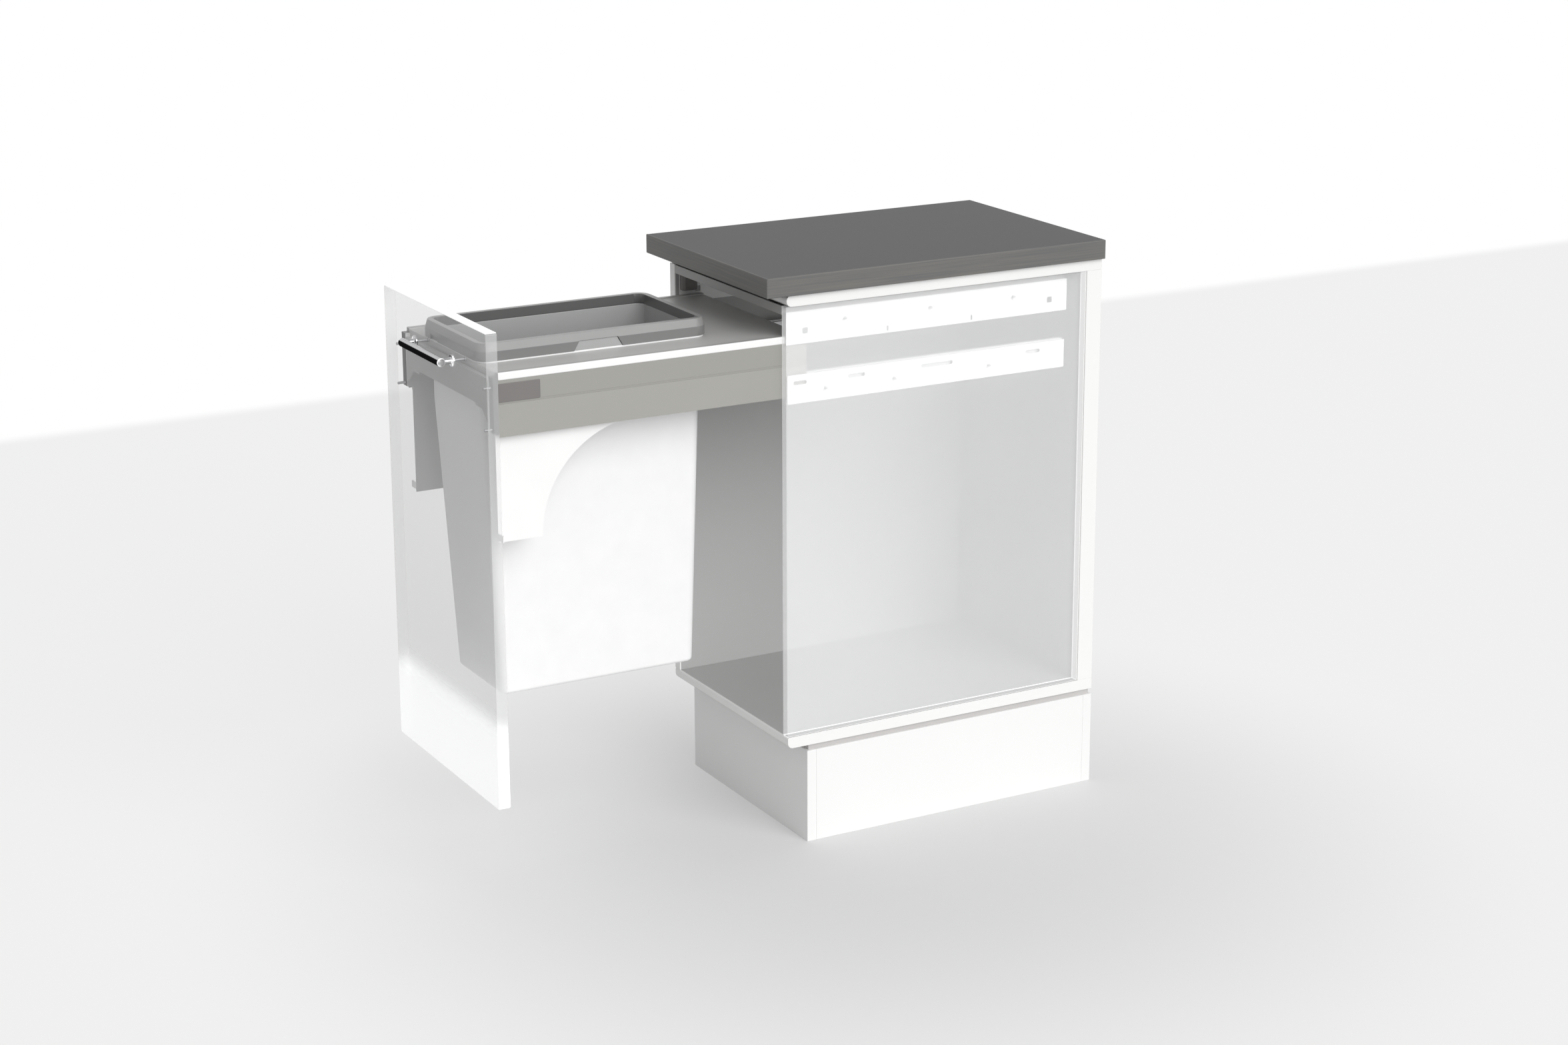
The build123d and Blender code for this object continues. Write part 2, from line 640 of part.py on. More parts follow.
def make_handle():
    end = (-HANDLE_LENGTH / 2, handle_y, handle_level)
    bar = rod(end, (1, 0, 0), HANDLE_RADIUS, HANDLE_LENGTH)
    pieces["handle_bar"] = chamfer(bar.edges().filter_by(GeomType.CIRCLE), HANDLE_RADIUS / 12)
    room = rod(end, (1, 0, 0), HANDLE_RADIUS + SLIDE_CLEARANCE, HANDLE_LENGTH)
    seat = (handle_leg_x, panel_face, handle_level)
    leg = rod(seat, (0, -1, 0), HANDLE_LEG_RADIUS, HANDLE_STANDOFF)
    leg += rod(seat, (0, -1, 0), ROSETTE_RADIUS, ROSETTE_THICKNESS)
    leg -= room
    leg -= screw_hole(seat, (0, -1, 0), HANDLE_SCREW_LENGTH - FRONT_THICKNESS)
    both_sides("handle_leg", leg)
    screws = [
        screw((x, panel_back, handle_level), (0, -1, 0), HANDLE_SCREW_LENGTH, BRACKET_HEAD_RADIUS,
              HANDLE_HEAD_THICKNESS)
        for x in (-handle_leg_x, handle_leg_x)
    ]
    pieces["handle_screws"] = Compound(screws)


# ---- Bin and ring ------------------------------------------------------------------------------------


def bin_body(inset, floor_lift):
    """The bin's body drawn in by an inset: a tapered well, and a straight neck that ends in the collar."""
    base = rim_low - BIN_DEPTH + floor_lift
    neck = rim_low - BIN_STRAIGHT
    top = (BIN_HALF_WIDTH - inset, drawer_front + BIN_FRONT + inset,
           drawer_front + BIN_FRONT + BIN_LENGTH - inset)
    bottom = (top[0] - BIN_SIDE_TAPER, top[1] + BIN_FRONT_TAPER, top[2] - BIN_REAR_TAPER)
    well = loft([
        rounded_face(*bottom, base, BIN_BASE_CORNER - inset),
        rounded_face(*top, neck, BIN_CORNER - inset),
    ], ruled=True)
    return well, rounded_prism(*top, (neck, collar_high), BIN_CORNER - inset)


def notch_outline(clearance):
    """The lifting tab's trapezoid in the YZ plane, grown by a clearance."""
    centre = side_start + NOTCH_CENTRE
    low = ring_low
    return make_face(Polyline(
        (centre - NOTCH_BASE / 2 - clearance, low),
        (centre + NOTCH_BASE / 2 + clearance, low),
        (centre + NOTCH_TOP / 2 + clearance, low + NOTCH_HEIGHT + clearance),
        (centre - NOTCH_TOP / 2 - clearance, low + NOTCH_HEIGHT + clearance),
        close=True,
    ))


def make_bin_and_ring():
    rim_half = BIN_HALF_WIDTH + BIN_RIM
    rim_front = drawer_front + BIN_FRONT - BIN_RIM
    rim_rear = drawer_front + BIN_FRONT + BIN_LENGTH + BIN_RIM
    well, neck = bin_body(0, 0)
    base_edges = well.faces().sort_by(Axis.Z)[0].edges()
    shell = fillet(base_edges, BIN_BASE_ROUND) + neck
    shell += rounded_prism(rim_half, rim_front, rim_rear, (rim_low, ring_low), RING_CORNER)
    for part in bin_body(BIN_WALL, BIN_WALL):
        shell -= part
    tab_outer = rim_half - TAB_CLEARANCE
    tab = extrude(Pos(tab_outer - TAB_THICKNESS, 0, 0) * (Plane.YZ * notch_outline(0)), TAB_THICKNESS)
    pieces["bin"] = shell + tab + mirror(tab, about=Plane.YZ)

    base = (rim_half + RING_OVERHANG, rim_front - RING_OVERHANG, rim_rear + RING_OVERHANG)
    inner_step = BIN_WALL + RING_INNER_STEP
    inner = (BIN_HALF_WIDTH - inner_step, drawer_front + BIN_FRONT + inner_step,
             drawer_front + BIN_FRONT + BIN_LENGTH - inner_step)
    bevel_low = ring_high - RING_BEVEL_HEIGHT
    crown = (inner[0] + RING_TOP_WIDTH, inner[1] - RING_TOP_WIDTH, inner[2] + RING_TOP_WIDTH)
    ring = rounded_prism(*base, (ring_low, bevel_low), RING_CORNER)
    ring += loft([
        rounded_face(*base, bevel_low, RING_CORNER),
        rounded_face(*crown, ring_high, RING_CORNER),
    ], ruled=True)
    ring -= rounded_prism(*inner, (ring_low, ring_high), BIN_CORNER - inner_step)
    ring -= rounded_prism(
        BIN_HALF_WIDTH + COLLAR_CLEARANCE,
        drawer_front + BIN_FRONT - COLLAR_CLEARANCE,
        drawer_front + BIN_FRONT + BIN_LENGTH + COLLAR_CLEARANCE,
        (ring_low, collar_high + COLLAR_CLEARANCE),
        BIN_CORNER + COLLAR_CLEARANCE,
    )
    slot_inner = tab_outer - TAB_THICKNESS - TAB_CLEARANCE
    slot = extrude(Pos(slot_inner, 0, 0) * (Plane.YZ * notch_outline(TAB_CLEARANCE)), base[0] - slot_inner)
    ring -= [slot, mirror(slot, about=Plane.YZ)]
    ring -= block(
        (GRIP_CENTRE - GRIP_WIDTH / 2, GRIP_CENTRE + GRIP_WIDTH / 2),
        (base[1], base[1] + GRIP_DEPTH),
        (ring_low, ring_low + GRIP_HEIGHT),
    )
    pieces["bin_ring"] = ring


# ---- Build and write ---------------------------------------------------------------------------------

make_carcass()
make_worktop()
make_plinth()
make_runners(make_cover_and_rails())
make_drawer_sides()
make_front()
make_handle()
make_bin_and_ring()

os.makedirs("parts", exist_ok=True)
for name, piece in pieces.items():
    export_step(piece, f"parts/{name}.step")
print(len(pieces), "nodes written")
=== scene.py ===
"""Finish of the pull-out trash cabinet: surfaces, materials, floor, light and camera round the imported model.

Metres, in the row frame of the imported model: +Z up, +Y to the wall, the front faces -Y, near is +X.
"""

import math

import bpy
import numpy as np
from bpy.props import FloatProperty, FloatVectorProperty, PointerProperty
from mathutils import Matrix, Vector


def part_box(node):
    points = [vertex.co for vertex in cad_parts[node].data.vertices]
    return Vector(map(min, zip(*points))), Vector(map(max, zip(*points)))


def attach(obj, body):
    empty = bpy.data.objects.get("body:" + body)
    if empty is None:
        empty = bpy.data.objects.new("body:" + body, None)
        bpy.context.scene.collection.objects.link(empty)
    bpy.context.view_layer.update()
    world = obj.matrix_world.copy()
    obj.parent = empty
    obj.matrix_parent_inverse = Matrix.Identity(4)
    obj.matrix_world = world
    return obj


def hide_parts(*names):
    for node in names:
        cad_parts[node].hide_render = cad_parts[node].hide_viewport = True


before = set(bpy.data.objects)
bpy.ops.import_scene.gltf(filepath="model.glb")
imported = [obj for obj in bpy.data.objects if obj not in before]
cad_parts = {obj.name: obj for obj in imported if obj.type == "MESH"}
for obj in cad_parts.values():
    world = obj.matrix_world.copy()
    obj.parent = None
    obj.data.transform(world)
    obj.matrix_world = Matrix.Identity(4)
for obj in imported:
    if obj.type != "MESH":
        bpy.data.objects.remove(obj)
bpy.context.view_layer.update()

bl_info = {
    "name": "Pull-out trash cabinet finish",
    "version": (1, 0, 0),
    "blender": (4, 5, 0),
    "location": "3D View > Sidebar > Cabinet",
    "description": "Dresses a packed pull-out bin cabinet with surfaces and materials, and stages it",
    "category": "Object",
}

SIDES = (("near", 1.0), ("far", -1.0))
BLACK = (0.0, 0.0, 0.0)
WHITE = (1.0, 1.0, 1.0)
MM = 0.001
RAIL_SHADOW_GAP = 0.1 * MM  # keeps the clear sheet's inner face off the rails that lie against it
MASK_FADE = 0.6 * MM  # over which most two-tone finishes change


# ---- Sizes and colours that a user would change ------------------------------------------------------


def length(name, description, default):
    """A length in metres as an add-on property."""
    return FloatProperty(
        name=name, description=description, default=default, min=0.0, unit="LENGTH", precision=4
    )


def colour(name, description, default):
    """A linear colour as an add-on property."""
    return FloatVectorProperty(
        name=name, description=description, default=default, size=3, subtype="COLOR", min=0.0, max=1.0
    )


def fraction(name, description, default):
    """A number from 0 to 1 as an add-on property."""
    return FloatProperty(
        name=name, description=description, default=default, min=0.0, max=1.0, subtype="FACTOR"
    )


def degrees(name, description, default):
    """An angle as an add-on property, given in degrees."""
    return FloatProperty(name=name, description=description, default=math.radians(default), subtype="ANGLE")


class CabinetShape(bpy.types.PropertyGroup):
    """Edge radii and small forms of the finished pieces."""

    board_edge: length("Board edge", "Rounding of the board edges", 0.0006)
    steel_edge: length("Steel edge", "Rounding of folded steel edges", 0.0003)
    moulded_edge: length("Moulded edge", "Rounding of moulded plastic edges", 0.0008)
    worktop_edge: length("Worktop edge", "Rounding of the worktop's edge bands", 0.0015)
    sheet_edge: length("Clear sheet edge", "Polished rounding of the clear sheets", 0.0012)
    sheet_corner: length("Front sheet corner", "Rounding of the front sheet's corners", 0.0040)
    frost_height: length("Frost height", "Top of the frosted part of the front, above the floor", 0.276)
    frost_fade: length("Frost fade", "Height over which the frosting fades out", 0.052)


class CabinetColours(bpy.types.PropertyGroup):
    """Linear colours of the finishes."""

    white_board: colour("White board", "Edge bands and outer faces of the carcass", (0.88, 0.88, 0.87))
    # Grey inside the carcass, darker than the outside so as to paint the shade inside it.
    inner_board_shade: colour("Inner board", "Melamine inside the carcass", (0.435, 0.435, 0.432))
    plinth_board: colour("Plinth board", "Melamine of the plinth", (0.88, 0.88, 0.875))
    laminate: colour("Laminate", "Worktop surface", (0.076, 0.076, 0.077))
    edging: colour("Edging", "Worktop edge band", (0.138, 0.137, 0.132))
    cover: colour("Cover board", "Fixed bin cover", (0.36, 0.355, 0.35))
    white_steel: colour("White steel", "Powder coat of rails and brackets", (0.92, 0.92, 0.915))
    grey_steel: colour("Grey steel", "Powder coat of the drawer sides", (0.362, 0.358, 0.333))
    # Dark colour that paints the shade on the flanges behind the front.
    flange_shade: colour("Flange", "Dark grey of the flanges behind the front", (0.060, 0.058, 0.058))
    plate: colour("Grey plate", "Powder coat of the top plate", (0.540, 0.537, 0.530))
    trim: colour("Dark trim", "Cover caps and rail stops", (0.185, 0.175, 0.170))
    ring: colour("Ring", "Plastic of the bin ring", (0.205, 0.204, 0.202))
    # Colour of the painted sheen on the ring's bevel.
    ring_painted_sheen: colour("Ring bevel", "Polished bevel of the bin ring", (0.275, 0.273, 0.270))
    # Colour of the painted shade inside the ring.
    ring_painted_shade: colour("Ring inside", "Matt inside of the bin ring", (0.125, 0.124, 0.123))
    bin: colour("Bin", "Plastic of the bin", (0.90, 0.90, 0.90))
    # Grey inside the bin that paints its shade, and the grey of its collar and lifting tabs.
    bin_shade_and_tabs: colour("Bin inside", "Inside and collar of the bin", (0.40, 0.405, 0.40))
    clear: colour("Clear sheet", "Veil of the clear sheets", (0.90, 0.905, 0.905))
    side_veil: fraction("Side veil", "How much the clear side sheet hides", 0.37)
    front_veil: fraction("Front veil", "How much the front sheet hides above its frosting", 0.20)
    # Warm grey of the strip, which also paints the shade in the gap under the carcass.
    seal_and_gap_shade: colour("Seal strip", "Strip over the plinth", (0.55, 0.535, 0.525))
    zinc: colour("Zinc", "Plate of the runners", (0.62, 0.62, 0.63))
    screw: colour("Screws", "Plate of the screws", (0.40, 0.40, 0.41))
    chrome: colour("Chrome", "Polish of the handle", (0.50, 0.50, 0.51))
    # Colour of the painted highlight on the handle's ends.
    chrome_painted_highlight: colour("Chrome ends", "Bright ends of the handle", (0.93, 0.93, 0.93))
    # Colour of the painted dark reflection along the front of the bar.
    chrome_painted_reflection: colour("Chrome band", "Dark inlay on the front of the bar", (0.012, 0.012, 0.013))
    black: colour("Black plastic", "Legs, feet and clips", (0.025, 0.025, 0.026))


class CabinetStage(bpy.types.PropertyGroup):
    """Floor and light."""

    floor: colour("Floor", "Pale floor", (0.72, 0.72, 0.72))
    floor_white: fraction("Floor white", "Share of plain white in the floor as seen", 0.72)
    # Painted shade: less plain white in the floor beside the unit.
    floor_white_in_shade: fraction("Floor white near", "Share of plain white in the floor beside the unit", 0.20)
    ambient: FloatProperty(name="Ambient", description="Strength of the even light", default=0.46, min=0.0)
    sun: FloatProperty(name="Sun", description="Strength of the soft key light", default=2.08, min=0.0)
    sun_azimuth: degrees("Sun azimuth", "Angle from +X towards the front", -10.0)
    sun_height: degrees("Sun height", "Angle above the floor", 27.0)
    sun_size: degrees("Sun size", "Angular size, which softens shadows", 50.0)


# ---- Shader maths ------------------------------------------------------------------------------------


class Value:
    """An output socket of a material being built. Operators on it add Math nodes."""

    def __init__(self, shader, socket):
        self.shader = shader
        self.socket = socket

    def math(self, operation, first, second):
        return self.shader.node("ShaderNodeMath", {"operation": operation}, {0: first, 1: second})

    def __add__(self, other):
        return self.math("ADD", self, other)

    def __radd__(self, other):
        return self.math("ADD", other, self)

    def __sub__(self, other):
        return self.math("SUBTRACT", self, other)

    def __rsub__(self, other):
        return self.math("SUBTRACT", other, self)

    def __mul__(self, other):
        return self.math("MULTIPLY", self, other)

    def __rmul__(self, other):
        return self.math("MULTIPLY", other, self)

    def size(self):
        """The value without its sign."""
        return self.shader.node("ShaderNodeMath", {"operation": "ABSOLUTE"}, {0: self})

    def larger(self, other):
        """The larger of two values, which joins two masks."""
        return self.math("MAXIMUM", self, other)

    def above(self, edge, fade=0.0002):
        """0 below edge - fade / 2, 1 above edge + fade / 2, smooth between."""
        return self.shader.node(
            "ShaderNodeMapRange",
            {"interpolation_type": "SMOOTHSTEP"},
            {"Value": self, "From Min": edge - fade / 2, "From Max": edge + fade / 2},
        )


class Shader:
    """The node tree of a new material, or of the world where it is given, built by named calls."""

    def __init__(self, name, world=None):
        self.owner = world or bpy.data.materials.new(name)
        self.owner.use_nodes = True
        self.tree = self.owner.node_tree
        self.tree.nodes.clear()
        self.place = self.node("ShaderNodeTexCoord", output="Object")

    def node(self, kind, settings=None, inputs=None, output=0):
        """Adds a node: settings first, then the values or links of its sockets."""
        made = self.tree.nodes.new(kind)
        for key, value in (settings or {}).items():
            setattr(made, key, value)
        for key, value in (inputs or {}).items():
            if isinstance(value, Value):
                self.tree.links.new(value.socket, made.inputs[key])
            else:
                made.inputs[key].default_value = value
        return Value(self, made.outputs[output]) if made.outputs else None

    def stretched(self, x, y, z):
        """Object coordinates scaled along each axis, for streaks and grain."""
        return self.node(
            "ShaderNodeMapping", {"vector_type": "POINT"}, {"Vector": self.place, "Scale": (x, y, z)}
        )

    def noise(self, scale, detail=2.0, vector=None, roughness=0.5):
        """Noise from 0 to 1 with about `scale` lumps a metre."""
        return self.node(
            "ShaderNodeTexNoise",
            {"noise_dimensions": "3D"},
            {"Vector": vector or self.place, "Scale": scale, "Detail": detail, "Roughness": roughness},
        )

    def along(self, axis):
        """One of the object coordinates, as a number."""
        return self.node("ShaderNodeSeparateXYZ", {}, {"Vector": self.place}, output="XYZ".index(axis))

    def mark(self, name):
        """A number that a mesh carries at its points."""
        return self.node("ShaderNodeAttribute", {"attribute_name": name}, output="Fac")

    def blend(self, factor, first, second):
        """A colour between two colours."""
        colours = [tuple(c) + (1.0,) if not isinstance(c, Value) else c for c in (first, second)]
        return self.node(
            "ShaderNodeMix",
            {"data_type": "RGBA", "clamp_factor": True},
            {0: factor, 6: colours[0], 7: colours[1]},
            output=2,
        )

    def bump(self, height, depth, strength=0.4):
        """A normal from a height that runs over `depth` metres."""
        return self.node("ShaderNodeBump", {}, {"Height": height, "Distance": depth, "Strength": strength})

    def surface(self, inputs):
        """The Principled surface, linked to the output."""
        principled = self.node("ShaderNodeBsdfPrincipled", {}, inputs)
        self.node("ShaderNodeOutputMaterial", {}, {"Surface": principled})
        return self.owner

    def background_rays(self):
        """1 for the rays that show the background: from the camera, off a gloss or through a clear sheet."""
        kinds = ("Camera", "Glossy", "Transmission")
        camera, glossy, through = (self.node("ShaderNodeLightPath", output=f"Is {kind} Ray") for kind in kinds)
        return camera.larger(glossy).larger(through)


def scaled(rgb, factor):
    """A colour made lighter or darker by a factor."""
    return tuple(min(1.0, c * factor) for c in rgb)


def melamine(name, rgb, inner=None, outline=None):
    """White board: a faint pearl texture and cloudy tone, and a darker grey inside the carcass that also
    paints the shade there.
    """
    shader = Shader(name)
    pearl = shader.noise(900.0, 2.0)
    cloud = shader.noise(6.0, 2.0)
    tone = shader.blend(cloud, scaled(rgb, 0.985), scaled(rgb, 1.01))
    if inner:
        low, high = outline
        x, y = shader.along("X"), shader.along("Y")
        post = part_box("rear_post_near")[0]
        sides = x.size().above(high[0] - MM)
        front = 1.0 - y.above(low[1] + 2 * MM, 2 * MM)
        rear = y.above(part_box("back_panel")[1][1] - MM)
        near_post = y.above(post[1] - MM) * x.above(post[0] - 0.5 * MM)
        outside = sides.larger(front).larger(rear).larger(near_post)
        # Inside the carcass the darker grey paints the shade.
        tone = shader.blend(outside, shader.blend(cloud, scaled(inner, 0.98), scaled(inner, 1.02)), tone)
    return shader.surface({
        "Base Color": tone,
        "Roughness": 0.34 + 0.10 * pearl,
        "Normal": shader.bump(pearl, 0.00006),
        "Specular IOR Level": 0.4,
    })


def laminate(name, rgb):
    """Worktop laminate: fine mineral speckle over slow clouds, with a matt tactile grain."""
    shader = Shader(name)
    speckle = shader.noise(1400.0, 3.0, roughness=0.7)
    cloud = shader.noise(9.0, 3.0)
    base = shader.blend(speckle, scaled(rgb, 0.86), scaled(rgb, 1.16))
    tone = shader.blend(cloud, scaled(rgb, 0.95), scaled(rgb, 1.05))
    return shader.surface({
        "Base Color": shader.blend(0.5, base, tone),
        "Roughness": 0.46 + 0.14 * speckle,
        "Normal": shader.bump(shader.noise(2200.0, 2.0), 0.00008),
        "Specular IOR Level": 0.25,
    })


def edging(name, rgb):
    """Edge band: thin streaks that run along it, warm and cool by turns."""
    shader = Shader(name)
    streak = shader.noise(1.0, 4.0, shader.stretched(5.0, 5.0, 420.0), roughness=0.65)
    fine = shader.noise(1.0, 2.0, shader.stretched(30.0, 30.0, 1500.0))
    warm = tuple(c * f for c, f in zip(rgb, (1.13, 1.09, 1.04)))
    cool = tuple(c * f for c, f in zip(rgb, (0.84, 0.86, 0.90)))
    return shader.surface({
        "Base Color": shader.blend(streak.above(0.5, 0.34), cool, warm),
        "Roughness": 0.42 + 0.16 * fine,
        "Normal": shader.bump(fine, 0.00005),
    })


def powder_coat(name, rgb, gloss=0.32, others=()):
    """Powder-coated steel: orange peel, a faint tone over the sheet, and other colours in places."""
    shader = Shader(name)
    peel = shader.noise(650.0, 2.0)
    cloud = shader.noise(14.0, 2.0)
    tone = shader.blend(cloud, scaled(rgb, 0.97), scaled(rgb, 1.02))
    for second, where in others:
        tone = shader.blend(where(shader), tone, second)
    return shader.surface({
        "Base Color": tone,
        "Roughness": gloss + 0.08 * peel,
        "Normal": shader.bump(peel, 0.00008, 0.3),
    })


def moulded(name, rgb, gloss=0.40, grain=0.00005, others=()):
    """Moulded plastic: spark-eroded grain, slight wear in the gloss, and other colours in places."""
    shader = Shader(name)
    spark = shader.noise(1800.0, 2.0)
    wear = shader.noise(30.0, 3.0)
    tone = shader.blend(wear, scaled(rgb, 0.97), scaled(rgb, 1.03))
    for second, where in others:
        tone = shader.blend(where(shader), tone, second)
    return shader.surface({
        "Base Color": tone,
        "Roughness": gloss + 0.10 * wear,
        "Normal": shader.bump(spark, grain, 0.35),
    })


def zinc_plate(name, rgb, gloss=0.26, coat=None):
    """Rolled and plated steel: drawn lines, cloudy plating, and a coat of paint on what is in the carcass."""
    shader = Shader(name)
    drawn = shader.noise(1.0, 3.0, shader.stretched(1800.0, 18.0, 1800.0))
    cloud = shader.noise(45.0, 3.0)
    tone = shader.blend(cloud, scaled(rgb, 0.88), scaled(rgb, 1.06))
    metal = 1.0
    if coat:
        coated = shader.along("Y").above(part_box("bottom_panel")[0][1])
        tone = shader.blend(coated, tone, coat)
        metal = metal - coated
    return shader.surface({
        "Base Color": tone,
        "Metallic": metal,
        "Roughness": gloss + 0.16 * drawn,
        "Normal": shader.bump(drawn, 0.00003, 0.3),
    })


def polished_chrome(name, rgb, bright, dark, bar):
    """Chrome: hairline wipe marks, a painted highlight with a faint glow on the ends, and a painted dark
    reflection along the bar's front.
    """
    low, high = bar
    shader = Shader(name)
    wiped = shader.noise(1.0, 4.0, shader.stretched(25.0, 900.0, 900.0))
    tone = shader.blend(wiped, scaled(rgb, 0.96), scaled(rgb, 1.0))
    radius = (high[2] - low[2]) / 2
    centre = (low + high) / 2
    drop = (centre[2] - shader.along("Z")) * (1.0 / radius)
    before = 1.0 - shader.along("Y").above(centre[1] + 0.5 * radius, 0.001)
    # Painted dark reflection along the front of the bar, below its top.
    band = drop.above(-0.62, 0.12) * before
    # Painted highlight on the ends, which also glow faintly.
    ends = shader.along("X").size().above(high[0] - 0.0014, 0.0006)
    band = band * (1.0 - ends)
    tone = shader.blend(band, tone, dark)
    return shader.surface({
        "Base Color": shader.blend(ends, tone, bright),
        "Metallic": 1.0 - band,
        "Roughness": 0.05 + 0.05 * wiped + 0.30 * band,
        "Specular IOR Level": 0.0,
        "Emission Color": shader.blend(ends, BLACK, WHITE),
        "Emission Strength": 0.12,
    })


# The bright edges are a painted glow.
EDGE_DEPTH = 1.0 * MM  # how far the bright edges of the clear sheets reach into their faces
EDGE_FADE = 0.4 * MM
EDGE_ALPHA = 0.97
FROST_ALPHA = 0.85


def clear_sheet(name, rgb, veil, box):
    """Clear sheet with a white veil that thickens towards the front, and edges painted bright with a glow."""
    shader = Shader(name)
    haze = shader.noise(3.0, 2.0)
    low, high = box
    depth = high[1] - low[1]
    rearward = shader.along("Y").above(low[1] + 0.5 * depth, depth)
    rear_edge = shader.along("Y").above(high[1] - EDGE_DEPTH, EDGE_FADE)
    edge = rear_edge.larger(1.0 - shader.along("Z").above(low[2] + EDGE_DEPTH, EDGE_FADE))
    clear = veil + 0.02 * haze - 0.04 * rearward
    return shader.surface({
        "Base Color": shader.blend(haze, scaled(rgb, 0.98), scaled(rgb, 1.02)),
        "Roughness": 0.12 + 0.06 * haze,
        "Alpha": clear + edge * (EDGE_ALPHA - clear),
        # Painted glow on the edges.
        "Emission Color": shader.blend(edge, BLACK, WHITE),
        "Emission Strength": 0.25,
        "Specular IOR Level": 0.25,
    })


def frosted_front(name, rgb, veil, box, top, fade):
    """Clear front: veiled above, frosted below a soft level edge; the frost is painted slightly lighter and
    glows, and the top edge has a painted glow.
    """
    shader = Shader(name)
    haze = shader.noise(3.0, 2.0)
    etched = shader.noise(1600.0, 2.0)
    low, high = box
    edge = shader.along("Z").above(high[2] - EDGE_DEPTH, EDGE_FADE)
    side = shader.along("X").size().above(high[0] - EDGE_DEPTH, EDGE_FADE) * (1.0 - edge)
    frost = 1.0 - shader.along("Z").above(top, fade)
    veil = veil + 0.05 * (1.0 - shader.along("Z").above(0.65 * high[2], 0.7 * high[2]))
    glow = frost.larger(edge)
    return shader.surface({
        # The frosted part is painted slightly lighter.
        "Base Color": shader.blend(frost, scaled(rgb, 0.96), scaled(rgb, 1.04)),
        "Roughness": 0.14 + 0.34 * frost + 0.04 * haze,
        "Alpha": (veil + 0.12 * side + frost * (FROST_ALPHA - veil)) * (1.0 - edge) + EDGE_ALPHA * edge,
        # Painted glow in the frosted part and on the top edge.
        "Emission Color": shader.blend(glow, BLACK, WHITE),
        "Emission Strength": 0.35,
        "Normal": shader.bump(etched * frost, 0.00004, 0.3),
        "Specular IOR Level": 0.25,
    })


def bracket_flange(shader):
    """Where the brackets' flanges are: between the drawer side's two faces, at the front, where a dark colour
    paints their shade.
    """
    low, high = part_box("drawer_side_near")
    across = shader.along("X").size()
    return across.above(low[0] + 0.0003) * (1.0 - shader.along("Y").above(low[1] + 0.0004)) * (
        shader.along("Z").above(low[2])
    )


def gusset_painted_shadow(shader):
    """The faces of the brackets' webs that look at the bin, where a darker tone paints the bin's shadow on
    them.
    """
    low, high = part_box("front_cross_rail")
    return 1.0 - shader.along("X").size().above(high[0] + MM, MASK_FADE)


def gallery_top(shader):
    """The upper face of the rails on the drawer sides."""
    low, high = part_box("side_top_rail_near")
    level = shader.along("Z")
    inner = 1.0 - shader.along("X").size().above(high[0] - MM, MASK_FADE)
    return inner * level.above(high[2] - MM, MASK_FADE) * (1.0 - level.above(high[2] + 0.5 * MM))


SKIN_BELOW_CAP = 3.0 * MM
RING_BEVEL_HEIGHT = 11.8 * MM
RING_WALL = 11.5 * MM


def upper_skin(shader):
    """The upper part of the drawer sides' outer skin."""
    low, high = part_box("cover_cap_near")
    return shader.along("Z").above(low[2] - SKIN_BELOW_CAP)


def ring_painted_sheen(shader):
    """The ring above the foot of its bevel, where a lighter colour paints the sheen the bevel catches."""
    low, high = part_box("bin_ring")
    return shader.along("Z").above(high[2] - RING_BEVEL_HEIGHT, MASK_FADE)


def ring_shade_place(shader):
    """The inside of the ring, nearer the middle than the inner edge of its crown, where a darker colour paints
    its shade.
    """
    low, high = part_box("bin_ring")
    middle = (low[1] + high[1]) / 2
    half_length = (high[1] - low[1]) / 2 - RING_WALL
    across = 1.0 - shader.along("X").size().above(high[0] - RING_WALL, EDGE_FADE)
    lengthwise = 1.0 - (shader.along("Y") - middle).size().above(half_length, EDGE_FADE)
    return across * lengthwise


MATERIALS = {}


def material(key):
    """The finish of one material slot, made once."""
    if key not in MATERIALS:
        MATERIALS[key] = make_material(key)
    return MATERIALS[key]


